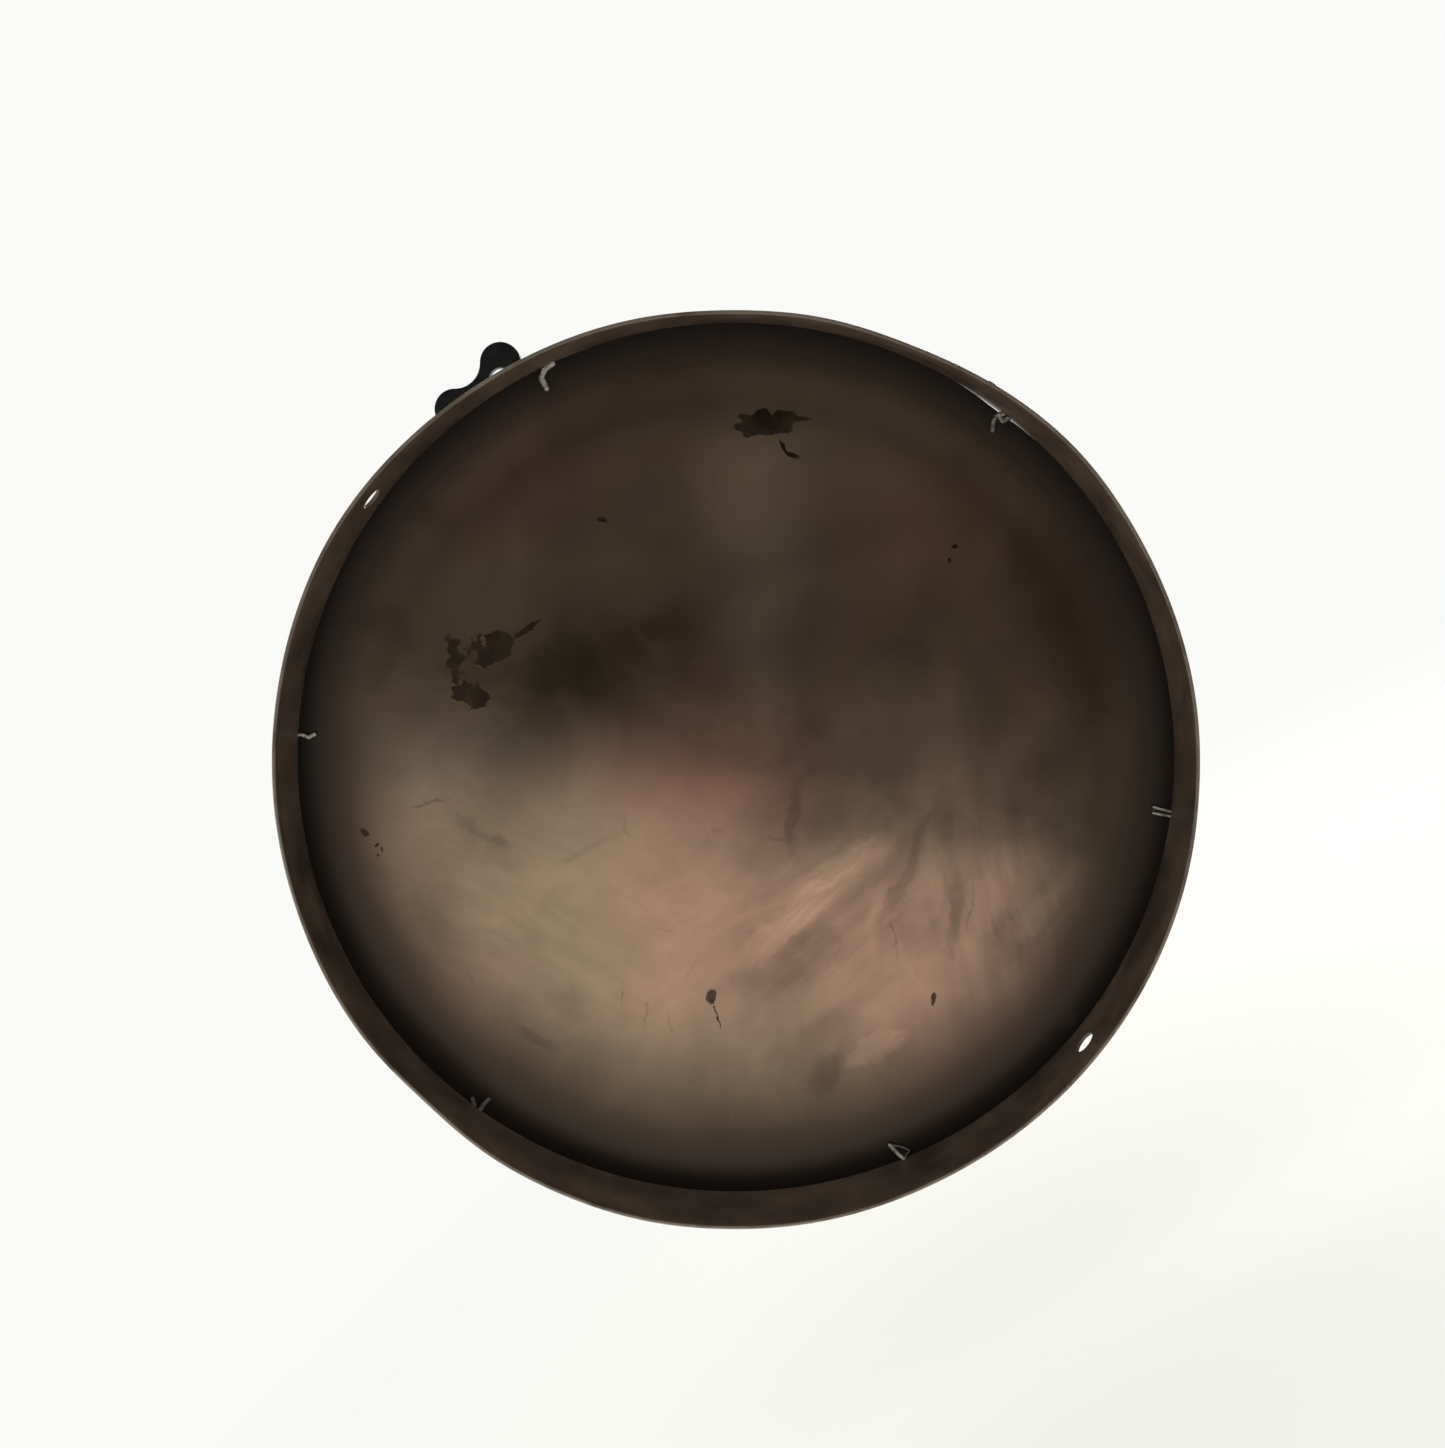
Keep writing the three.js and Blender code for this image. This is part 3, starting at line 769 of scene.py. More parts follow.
def hoop_bar(gong):
    """Hot-rolled flat bar, its mill scale lacquered over: brown-black and cloudy, worn to bare steel along
    the lip."""
    material, tree = finish_named("Lacquered flat bar")
    place = add(tree, "ShaderNodeTexCoord").outputs["Object"]
    clouds = add(
        tree, "ShaderNodeTexNoise", {"Vector": place, "Scale": 28, "Detail": 5, "Roughness": 0.6}
    ).outputs["Fac"]
    rolled = add(tree, "ShaderNodeMapping", {"Vector": place, "Scale": (40, 900, 40)}).outputs["Vector"]
    lines = add(tree, "ShaderNodeTexNoise", {"Vector": rolled, "Scale": 1, "Detail": 3}).outputs["Fac"]
    scale = add(
        tree,
        "ShaderNodeValToRGB",
        {"Fac": clouds},
        stops=[(0.3, linear("#51443A")), (0.5, tuple(gong.hoop_colour)), (0.68, linear("#7A6858"))],
    ).outputs["Color"]
    along = add(tree, "ShaderNodeSeparateXYZ", {0: place}).outputs["Y"]
    # Within half a millimetre of either edge the lacquer is rubbed off, in patches.
    from_middle = add(
        tree, "ShaderNodeMath", {0: along, 1: gong.lip + gong.hoop_depth / 2}, operation="SUBTRACT"
    ).outputs["Value"]
    from_middle = add(tree, "ShaderNodeMath", {0: from_middle}, operation="ABSOLUTE").outputs["Value"]
    patchy = add(
        tree, "ShaderNodeTexNoise", {"Vector": place, "Scale": 60, "Detail": 5, "Roughness": 0.7}
    ).outputs["Fac"]
    near = add(
        tree,
        "ShaderNodeMapRange",
        {
            "Value": from_middle,
            "From Min": gong.hoop_depth / 2 - 0.5 * MM,
            "From Max": gong.hoop_depth / 2 - 0.05 * MM,
        },
    ).outputs["Result"]
    worn = add(
        tree, "ShaderNodeMapRange", {"Value": patchy, "From Min": 0.36, "From Max": 0.56}
    ).outputs["Result"]
    across = add(tree, "ShaderNodeAttribute", attribute_name="across_bar").outputs["Fac"]
    outermost = add(
        tree,
        "ShaderNodeMapRange",
        {"Value": across, "From Min": 0.25, "From Max": 0.9, "To Min": 0.25, "To Max": 1},
    ).outputs["Result"]
    worn = add(tree, "ShaderNodeMath", {0: worn, 1: outermost}, operation="MULTIPLY").outputs["Value"]
    bare = add(tree, "ShaderNodeMath", {0: near, 1: worn}, operation="MULTIPLY").outputs["Value"]
    shade = add(
        tree, "ShaderNodeMix", {0: bare, 6: scale, 7: tuple(gong.lip_colour)}, data_type="RGBA"
    ).outputs[2]
    roughness = add(
        tree,
        "ShaderNodeMapRange",
        {"Value": clouds, "From Min": 0.3, "From Max": 0.7, "To Min": 0.36, "To Max": 0.55},
    ).outputs["Result"]
    bump = add(
        tree, "ShaderNodeBump", {"Height": lines, "Strength": 0.25, "Distance": 0.06 * MM}
    ).outputs["Normal"]
    bump = add(
        tree, "ShaderNodeBump", {"Height": patchy, "Strength": 0.35, "Distance": 0.15 * MM, "Normal": bump}
    ).outputs["Normal"]
    metallic = add(
        tree, "ShaderNodeMapRange", {"Value": bare, "To Min": 0.55, "To Max": 0.9}
    ).outputs["Result"]
    shader = add(
        tree,
        "ShaderNodeBsdfPrincipled",
        {"Base Color": shade, "Metallic": metallic, "Roughness": roughness, "Normal": bump},
    )
    add(tree, "ShaderNodeOutputMaterial", {"Surface": shader.outputs["BSDF"]})
    return material


def weld_bead(name, gong, bare, ridged=False):
    """Weld metal as it cooled: a matt grey oxide skin with dark slag in its ripples, browned where lacquer
    covers it. A ridged bead gets painted shade on its flanks, down to where it meets the steel, and keeps its own
    colour only along its ridge."""
    material, tree = finish_named(name)
    place = add(tree, "ShaderNodeTexCoord").outputs["Object"]
    slag = add(
        tree, "ShaderNodeTexNoise", {"Vector": place, "Scale": 700, "Detail": 4, "Roughness": 0.7}
    ).outputs["Fac"]
    skin = add(tree, "ShaderNodeTexNoise", {"Vector": place, "Scale": 160, "Detail": 3}).outputs["Fac"]
    lacquered = tuple(a * bare + b * (1 - bare) for a, b in zip(gong.weld_colour, linear("#4A3D31")))
    dull = tuple(c * 0.5 for c in lacquered[:3]) + (1,)
    shade = add(
        tree, "ShaderNodeValToRGB", {"Fac": skin}, stops=[(0.34, dull), (0.56, lacquered)]
    ).outputs["Color"]
    if ridged:
        # Painted shade: the bead's flanks are painted dark, and only its ridge keeps the weld's colour.
        lit_crest = add(tree, "ShaderNodeAttribute", attribute_name="lit_crest").outputs["Fac"]
        shade = add(
            tree, "ShaderNodeMix", {0: lit_crest, 6: linear("#2E261F"), 7: shade}, data_type="RGBA"
        ).outputs[2]
    dark = add(
        tree,
        "ShaderNodeMapRange",
        {"Value": slag, "From Min": 0.56, "From Max": 0.66, "To Min": 0, "To Max": 0.8},
    ).outputs["Result"]
    shade = add(tree, "ShaderNodeMix", {0: dark, 6: shade, 7: linear("#1D1814")}, data_type="RGBA").outputs[2]
    bump = add(
        tree, "ShaderNodeBump", {"Height": slag, "Strength": 0.4, "Distance": 0.12 * MM}
    ).outputs["Normal"]
    shader = add(
        tree,
        "ShaderNodeBsdfPrincipled",
        {"Base Color": shade, "Metallic": 0.3, "Roughness": 0.5, "Normal": bump},
    )
    add(tree, "ShaderNodeOutputMaterial", {"Surface": shader.outputs["BSDF"]})
    return material


def plate_front_steel(gong):
    """The same lacquered sheet on the side that is struck: browner and more even, with a paler, scuffed
    middle where the mallet has worn the lacquer thin, and hairlines from wiping it round."""
    material, tree = finish_named("Lacquered steel sheet, front")
    centred, wiped = wiped_plate(tree, gong)
    flat = add(tree, "ShaderNodeMapping", {"Vector": centred, "Scale": (1, 0, 1)}).outputs["Vector"]
    from_axis = add(tree, "ShaderNodeVectorMath", {0: flat}, operation="LENGTH").outputs["Value"]
    cloud = add(
        tree,
        "ShaderNodeTexNoise",
        {"Vector": wiped, "Scale": 11, "Detail": 5, "Roughness": 0.6, "Distortion": 0.8},
    ).outputs["Fac"]
    scuff = add(
        tree, "ShaderNodeTexNoise", {"Vector": wiped, "Scale": 90, "Detail": 5, "Roughness": 0.7}
    ).outputs["Fac"]
    wandered = add(
        tree, "ShaderNodeMath", {0: cloud, 1: 90 * MM, 2: from_axis}, operation="MULTIPLY_ADD"
    ).outputs["Value"]
    struck = add(
        tree,
        "ShaderNodeMapRange",
        {"Value": wandered, "From Min": 60 * MM, "From Max": 150 * MM, "To Min": 1, "To Max": 0},
        interpolation_type="SMOOTHSTEP",
    ).outputs["Result"]
    lacquer = add(
        tree,
        "ShaderNodeValToRGB",
        {"Fac": cloud},
        stops=[(0.32, linear("#54432F")), (0.5, linear("#75604A")), (0.66, linear("#8A725A"))],
    ).outputs["Color"]
    softly = add(
        tree,
        "ShaderNodeMapRange",
        {"Value": scuff, "From Min": 0.25, "From Max": 0.75, "To Min": 0.4, "To Max": 0.66},
    ).outputs["Result"]
    worn = add(tree, "ShaderNodeMath", {0: struck, 1: softly}, operation="MULTIPLY").outputs["Value"]
    shade = add(
        tree, "ShaderNodeMix", {0: worn, 6: lacquer, 7: tuple(gong.plate_colour)}, data_type="RGBA"
    ).outputs[2]
    rim = add(
        tree,
        "ShaderNodeMapRange",
        {"Value": from_axis, "From Min": 205 * MM, "From Max": 249 * MM, "To Min": 0, "To Max": 0.85},
        interpolation_type="SMOOTHSTEP",
    ).outputs["Result"]
    shade = add(tree, "ShaderNodeMix", {0: rim, 6: shade, 7: linear("#1E1712")}, data_type="RGBA").outputs[2]
    # Hairlines run round the gong, a millimetre apart so that they can be seen.
    rings = add(tree, "ShaderNodeCombineXYZ", {0: from_axis, 2: cloud}).outputs["Vector"]
    hair = add(tree, "ShaderNodeTexNoise", {"Vector": rings, "Scale": 1000, "Detail": 2}).outputs["Fac"]
    bump = add(
        tree, "ShaderNodeBump", {"Height": hair, "Strength": 0.04, "Distance": 0.05 * MM}
    ).outputs["Normal"]
    bump = add(
        tree, "ShaderNodeBump", {"Height": scuff, "Strength": 0.08, "Distance": 0.1 * MM, "Normal": bump}
    ).outputs["Normal"]
    roughness = add(
        tree,
        "ShaderNodeMapRange",
        {"Value": scuff, "From Min": 0.3, "From Max": 0.7, "To Min": 0.2, "To Max": 0.32},
    ).outputs["Result"]
    shader = add(
        tree,
        "ShaderNodeBsdfPrincipled",
        {"Base Color": shade, "Metallic": 0.85, "Roughness": roughness, "Normal": bump},
    )
    add(tree, "ShaderNodeOutputMaterial", {"Surface": shader.outputs["BSDF"]})
    return material


def black_casting(hanger):
    """Sand-cast iron under satin black paint: a pebbled skin with a soft shine, rubbed brown-grey along
    its edges."""
    material, tree = finish_named("Black-painted cast iron")
    place = add(tree, "ShaderNodeTexCoord").outputs["Object"]
    sand = add(
        tree, "ShaderNodeTexNoise", {"Vector": place, "Scale": 900, "Detail": 3, "Roughness": 0.6}
    ).outputs["Fac"]
    lumps = add(tree, "ShaderNodeTexNoise", {"Vector": place, "Scale": 150, "Detail": 3}).outputs["Fac"]
    paint = add(
        tree,
        "ShaderNodeValToRGB",
        {"Fac": lumps},
        stops=[(0.35, linear("#0F0E0D")), (0.65, tuple(hanger.paint_colour))],
    ).outputs["Color"]
    edge = add(tree, "ShaderNodeAttribute", attribute_name="edge").outputs["Fac"]
    rubbed = add(tree, "ShaderNodeMath", {0: edge, 1: lumps}, operation="MULTIPLY").outputs["Value"]
    rubbed = add(
        tree,
        "ShaderNodeMapRange",
        {"Value": rubbed, "From Min": 0.46, "From Max": 0.6, "To Min": 0, "To Max": 0.7},
    ).outputs["Result"]
    shade = add(
        tree, "ShaderNodeMix", {0: rubbed, 6: paint, 7: tuple(hanger.iron_colour)}, data_type="RGBA"
    ).outputs[2]
    roughness = add(
        tree,
        "ShaderNodeMapRange",
        {"Value": lumps, "From Min": 0.3, "From Max": 0.7, "To Min": 0.34, "To Max": 0.5},
    ).outputs["Result"]
    bump = add(
        tree, "ShaderNodeBump", {"Height": lumps, "Strength": 0.3, "Distance": 0.4 * MM}
    ).outputs["Normal"]
    bump = add(
        tree, "ShaderNodeBump", {"Height": sand, "Strength": 0.35, "Distance": 0.1 * MM, "Normal": bump}
    ).outputs["Normal"]
    shader = add(
        tree,
        "ShaderNodeBsdfPrincipled",
        {"Base Color": shade, "Metallic": 0, "Roughness": roughness, "Normal": bump},
    )
    add(tree, "ShaderNodeOutputMaterial", {"Surface": shader.outputs["BSDF"]})
    return material


def machined_metal(name, bright, dull, cloud_size, grain_size, roughness):
    """A small machined part's skin: clouds of a duller colour over a fine grain, their sizes given in
    millimetres."""
    material, tree = finish_named(name)
    place = add(tree, "ShaderNodeTexCoord").outputs["Object"]
    clouds = add(
        tree,
        "ShaderNodeTexNoise",
        {"Vector": place, "Scale": 1000 / cloud_size, "Detail": 4, "Roughness": 0.6},
    ).outputs["Fac"]
    grain = add(
        tree, "ShaderNodeTexNoise", {"Vector": place, "Scale": 1000 / grain_size, "Detail": 2}
    ).outputs["Fac"]
    shade = add(
        tree, "ShaderNodeValToRGB", {"Fac": clouds}, stops=[(0.36, dull), (0.6, tuple(bright))]
    ).outputs["Color"]
    pitted = add(
        tree,
        "ShaderNodeMapRange",
        {"Value": grain, "From Min": 0.3, "From Max": 0.42, "To Min": 0.6, "To Max": 0},
    ).outputs["Result"]
    shade = add(
        tree,
        "ShaderNodeMix",
        {0: pitted, 6: shade, 7: tuple(c * 0.4 for c in dull[:3]) + (1,)},
        data_type="RGBA",
    ).outputs[2]
    rough = add(
        tree,
        "ShaderNodeMapRange",
        {"Value": clouds, "From Min": 0.3, "From Max": 0.7, "To Min": roughness + 0.1, "To Max": roughness - 0.06},
    ).outputs["Result"]
    bump = add(
        tree, "ShaderNodeBump", {"Height": grain, "Strength": 0.2, "Distance": 0.04 * MM}
    ).outputs["Normal"]
    shader = add(
        tree,
        "ShaderNodeBsdfPrincipled",
        {"Base Color": shade, "Metallic": 1.0, "Roughness": rough, "Normal": bump},
    )
    add(tree, "ShaderNodeOutputMaterial", {"Surface": shader.outputs["BSDF"]})
    return material


def zinc_plating(fastening):
    """Bright zinc plating on steel, gone a little white and straw-coloured in clouds some millimetres
    across."""
    return machined_metal("Zinc-plated steel", fastening.zinc_colour, linear("#8E8C80"), 5, 0.5, 0.3)


# ---- The pieces ----

WASHER_BORE = 4.3 * MM  # radius of the holes that clear the M8 stud
CLOSE_BORE = 4.15 * MM  # radius of the holes in the stud's collar and the nut
SPRING_OUTER = 7.2 * MM


class TAMTAM_OT_striking_plate(bpy.types.Operator):
    """The thin domed sheet that is struck"""

    bl_idname = "tamtam.striking_plate"
    bl_label = "Striking plate"

    def execute(self, context):
        gong = context.scene.tamtam_gong
        # Lacquer has run into the corner, so the sheet meets the hoop and no light comes between them.
        edge = gong.hoop_radius - gong.hoop_wall + 0.02 * MM
        rounding = 0.15 * MM
        radii = [0, 4 * MM, *(10 * MM * i for i in range(1, 24)), 235 * MM, 240 * MM, 244 * MM, edge - rounding]
        back = [(r, plate_back(gong, r)) for r in radii]
        rim = [
            (
                edge - rounding + rounding * math.sin(t),
                plate_back(gong, edge) + rounding - rounding * math.cos(t),
            )
            for t in (math.radians(30), math.radians(60), math.radians(90))
        ]
        middle = plate_back(gong, edge) + gong.plate_sheet / 2
        other_rim = [(r, 2 * middle - y) for r, y in reversed(rim)]
        front = [(r, y + gong.plate_sheet) for r, y in reversed(back)]
        plate = turned("plate", [*back, *rim, *other_rim, *front], gong.axis_height, gong.steps)

        def worked(place):
            out = Vector((place.x, 0, place.z - gong.axis_height))
            radius = out.length
            pull = bump_at(gong_angle(gong, place), *PLATE_PULL) * (radius / edge) ** 8
            # A hand-worked sheet is never quite even: it waves by up to a fifth of a millimetre over a hand's
            # width.
            wave = noise.noise(Vector((place.x * 11, 3.1, place.z * 11))) * 0.22 * MM
            held = 1 - (radius / edge) ** 4  # the welds hold its edge
            moved = place + Vector((0, wave * held, 0))
            return moved - out.normalized() * pull if radius else moved

        reshaped(plate, worked)
        back_steel = plate_back_steel(gong)
        front_steel = plate_front_steel(gong)
        finished(plate, "striking_plate", "gong", "plate_steel", back_steel, front_steel)
        for face in plate.data.polygons:
            face.material_index = 0 if face.normal.y < 0.3 else 1
        return {"FINISHED"}


class TAMTAM_OT_rim_hoop(bpy.types.Operator):
    """The flat bar rolled into a ring, its lip knocked out of round, with two cord holes"""

    bl_idname = "tamtam.rim_hoop"
    bl_label = "Rim hoop"

    def execute(self, context):
        gong = context.scene.tamtam_gong
        inner, outer = gong.hoop_radius - gong.hoop_wall, gong.hoop_radius
        front = gong.lip + gong.hoop_depth
        outline = softened(
            [(inner, gong.lip), (outer, gong.lip), (outer, front), (inner, front)], gong.bar_rounding, 4
        )
        hoop = turned("hoop", outline, gong.axis_height, gong.steps)
        # Rings of edges up the wall let it bulge evenly.
        bpy.ops.object.mode_set(mode="EDIT")
        for from_lip in range(5, 50, 5):
            bpy.ops.mesh.select_all(action="SELECT")
            bpy.ops.mesh.bisect(plane_co=(0, gong.lip + from_lip * MM, 0), plane_no=(0, 1, 0))
        bpy.ops.object.mode_set(mode="OBJECT")
        for angle in CORD_HOLE_ANGLES:
            # The drill leaves its burr, which is broken with a slight chamfer inside and out.
            hole, wide = gong.cord_hole / 2, gong.cord_hole / 2 + 0.35 * MM
            profile = [
                (0, -4), (wide, -4), (wide, -1.05), (hole, -0.7), (hole, 0.7), (wide, 1.05), (wide, 4), (
                    0, 4
                ),
            ]
            drill = turned("drill", [(r, y * MM) for r, y in profile], 0, 48)
            drill.data.transform(
                facing_out(gong, angle, outer - gong.hoop_wall / 2, gong.lip + gong.cord_hole_from_lip)
                @ Matrix.Rotation(math.pi / 2, 4, "X")
            )
            cut(hoop, drill)
        across = hoop.data.attributes.new("across_bar", "FLOAT", "POINT")
        for vertex, value in zip(hoop.data.vertices, across.data):
            value.value = (math.hypot(vertex.co.x, vertex.co.z - gong.axis_height) - inner) / gong.hoop_wall
        deselect_all()
        bpy.ops.mesh.primitive_cube_add(size=1)
        slot = named("slot")
        slot.data.transform(
            facing_out(gong, math.degrees(gong.seam_angle), outer, gong.lip + gong.hoop_depth / 2)
            @ Matrix.Diagonal((gong.seam_slot, 2 * gong.hoop_depth, 6 * gong.hoop_wall, 1))
        )
        cut(hoop, slot)

        reshaped(hoop, lambda place: knocked(gong, place))
        finished(hoop, "rim_hoop", "gong", "hoop_steel", hoop_bar(gong))
        return {"FINISHED"}


class TAMTAM_OT_seam_weld(bpy.types.Operator):
    """The rippled bead that joins the bar's two ends"""

    bl_idname = "tamtam.seam_weld"
    bl_label = "Seam weld"

    def execute(self, context):
        gong = context.scene.tamtam_gong
        angle = math.degrees(gong.seam_angle)
        stem, cap, proud = gong.seam_slot / 2 + 0.1 * MM, 2.5 * MM, 1.15 * MM
        arc = [
            (cap * math.cos(t), proud * math.sin(t))
            for t in (math.pi * i / 10 for i in range(11))
        ]
        wall = gong.hoop_wall
        section = [(-stem, -wall - 0.05 * MM), (stem, -wall - 0.05 * MM), (stem, -0.1 * MM), *arc, (-stem, -0.1 * MM)]
        bead = traced("bead", [(x, gong.lip + 0.2 * MM, z) for x, z in [*section, section[0]]])
        bpy.ops.mesh.remove_doubles(threshold=0.002 * MM)
        bpy.ops.mesh.edge_face_add()
        steps = 165
        for _ in range(steps):
            bpy.ops.mesh.extrude_region_move(
                TRANSFORM_OT_translate={"value": (0, (gong.hoop_depth - 0.4 * MM) / steps, 0)}
            )
        bpy.ops.mesh.select_all(action="SELECT")
        bpy.ops.mesh.normals_make_consistent(inside=False)
        bpy.ops.object.mode_set(mode="OBJECT")

        def rippled(place):
            along = place.y - gong.lip
            # The ripples of a bead are about a millimetre apart and bow back along its edges.
            phase = (along - 60 * place.x**2) / (1.1 * MM) * 2 * math.pi
            if place.z > -0.05 * MM:
                # It thins out at both ends, where the welder starts and stops.
                end = min(1, along / (4 * MM), (gong.hoop_depth - along) / (4 * MM))
                place.z = (place.z + 0.12 * MM * math.sin(phase) - 0.12 * MM) * (0.25 + 0.75 * max(0, end))
                place.x *= 1 + 0.06 * noise.noise(Vector((along * 400, 0, 7)))
            return place

        reshaped(bead, rippled)
        bead.data.transform(facing_out(gong, angle, gong.hoop_radius, 0))

        reshaped(bead, lambda place: knocked(gong, place))
        finished(bead, "hoop_seam_weld", "gong", "weld_metal", weld_bead("Seam weld metal", gong, 0.12))
        return {"FINISHED"}


class TAMTAM_OT_tack_welds(bpy.types.Operator):
    """The six tacks that hold the plate in the hoop"""

    bl_idname = "tamtam.tack_welds"
    bl_label = "Tack welds"

    def execute(self, context):
        gong = context.scene.tamtam_gong
        inner = gong.hoop_radius - gong.hoop_wall
        for number, (angle, beads, bare) in enumerate(TACKS, 1):
            spot = facing_out(gong, angle, inner, gong.lip + gong.plate_setback)
            drops = []
            for half_width, height, path in beads:
                for (inward, along), (next_inward, next_along) in zip(path, path[1:]):
                    count = max(2, round(math.hypot(next_inward - inward, next_along - along) / 0.5))
                    for i in range(count + 1):
                        t = i / count
                        size = 1 + 0.14 * noise.noise(Vector((inward + 3 * t, along, number * 5)))
                        drops.append(
                            (inward + (next_inward - inward) * t, along + (next_along - along) * t,
                             half_width * size, height * size)
                        )
            # A bead is a row of drops, each laid half on the last, melted into one.
            deselect_all()
            bpy.ops.mesh.primitive_uv_sphere_add(segments=20, ring_count=12, radius=1)
            drop = named("drop")
            made = []
            for inward, along, half_width, height in drops:
                one = bpy.data.objects.new("laid_drop", drop.data.copy())
                context.collection.objects.link(one)
                one.data.transform(
                    Matrix.Translation((along * MM, 0, -inward * MM))
                    @ Matrix.Diagonal((half_width * MM, height * MM, half_width * MM, 1))
                )
                made.append(one)
            bpy.data.objects.remove(drop)
            deselect_all()
            for one in made:
                one.select_set(True)
            context.view_layer.objects.active = made[0]
            bpy.ops.object.join()
            tack = made[0]
            applied(tack, "REMESH", mode="VOXEL", voxel_size=0.16 * MM)
            applied(tack, "SMOOTH", factor=0.5, iterations=4)
            # How high each point stands on the bead, which sets the painted shade on its flanks.
            lit_crest = tack.data.attributes.new("lit_crest", "FLOAT", "POINT")
            top = max(-vertex.co.y for vertex in tack.data.vertices)
            for vertex, value in zip(tack.data.vertices, lit_crest.data):
                value.value = min(1, max(0, (-vertex.co.y / top - 0.45) / 0.35))

            def rippled(place):
                phase = place.z / (0.9 * MM) + 1.5 * noise.noise(place * 350)
                swell = 0.08 * math.sin(phase * 2 * math.pi) + 0.25 * noise.noise(place * 620)
                return place - Vector((0, swell * MM, 0))

            reshaped(tack, rippled)
            tack.data.transform(spot)
            select_only(tack)
            bpy.ops.object.mode_set(mode="EDIT")
            bpy.ops.mesh.select_all(action="SELECT")
            bpy.ops.mesh.bisect(
                plane_co=(0, gong.lip + gong.plate_setback + 0.9 * MM, 0),
                plane_no=(0, 1, 0),
                use_fill=True,
                clear_outer=True,
            )
            out = on_gong(gong, angle, 1, 0) - Vector((0, 0, gong.axis_height))
            wall = inner + 0.5 * MM + hoop_bulge(gong, angle, gong.lip + 43 * MM)
            bpy.ops.mesh.select_all(action="SELECT")
            bpy.ops.mesh.bisect(
                plane_co=on_gong(gong, angle, wall, 0), plane_no=out, use_fill=True, clear_outer=True
            )
            bpy.ops.object.mode_set(mode="OBJECT")
            steel = weld_bead(f"Tack weld metal {number}", gong, bare, ridged=True)
            finished(tack, f"tack_weld_{number}", "gong", "weld_metal", steel, smooth=60)
        return {"FINISHED"}


class TAMTAM_OT_hanger_plate(bpy.types.Operator):
    """The black cast clover with an eye in each lobe"""

    bl_idname = "tamtam.hanger_plate"
    bl_label = "Hanger plate"

    def execute(self, context):
        hanger = context.scene.tamtam_hanger
        half = math.pi / hanger.lobes
        hollow_reach = hanger.lobe_from_centre / math.cos(half)
        hollow = hanger.lobe_from_centre * math.tan(half) - hanger.lobe_radius
        meet = math.atan2(hanger.lobe_radius, hanger.lobe_from_centre)

        def reach(turn):
            """From the stud to the clover's edge: round a lobe, then through the hollow between two."""
            turn = abs((turn + half) % (2 * half) - half)
            if turn <= meet:
                far, radius, away, side = hanger.lobe_from_centre, hanger.lobe_radius, turn, 1
            else:
                far, radius, away, side = hollow_reach, hollow, half - turn, -1
            return far * math.cos(away) + side * math.sqrt(radius**2 - (far * math.sin(away)) ** 2)

        deselect_all()
        bpy.ops.mesh.primitive_circle_add(
            vertices=256, radius=1, fill_type="NGON", location=(0, -hanger.thickness / 2, 0), rotation=(
                math.pi / 2, 0, 0
            )
        )
        plate = named("clover")

        def cast(place):
            turn = math.atan2(place.z, place.x)
            radius = reach(turn - hanger.first_lobe)
            return Vector((radius * math.cos(turn), place.y, radius * math.sin(turn)))

        reshaped(plate, cast)
        bpy.ops.object.mode_set(mode="EDIT")
        bpy.ops.mesh.select_all(action="SELECT")
        bpy.ops.mesh.extrude_region_move(TRANSFORM_OT_translate={"value": (0, hanger.thickness, 0)})
        bpy.ops.mesh.select_all(action="SELECT")
        bpy.ops.mesh.normals_make_consistent(inside=False)
        bpy.ops.object.mode_set(mode="OBJECT")
        holes = [(0, 0, hanger.bore)]
        for i in range(hanger.lobes):
            turn = hanger.first_lobe + 2 * half * i
            holes.append(
                (
                    hanger.eye_from_centre * math.cos(turn),
                    hanger.eye_from_centre * math.sin(turn),
                    hanger.eye / 2,
                )
            )
        for x, z, radius in holes:
            deselect_all()
            bpy.ops.mesh.primitive_cylinder_add(
                vertices=72, radius=radius, depth=3 * hanger.thickness, location=(x, 0, z), rotation=(
                    math.pi / 2, 0, 0
                )
            )
            cut(plate, named("drill"))
        applied(
            plate, "BEVEL", width=hanger.edge_round, segments=5, limit_method="ANGLE", angle_limit=math.radians(
                60
            )
        )
        # Paint rubs off where a rounded edge stands out, so each point keeps how far it is round an edge.
        edges = plate.data.attributes.new("edge", "FLOAT", "POINT")
        for vertex, value in zip(plate.data.vertices, edges.data):
            value.value = 4 * vertex.normal.y**2 * (1 - vertex.normal.y**2)
        finished(plate, "hanger_plate", "hanger", "black_casting", black_casting(hanger))
        return {"FINISHED"}


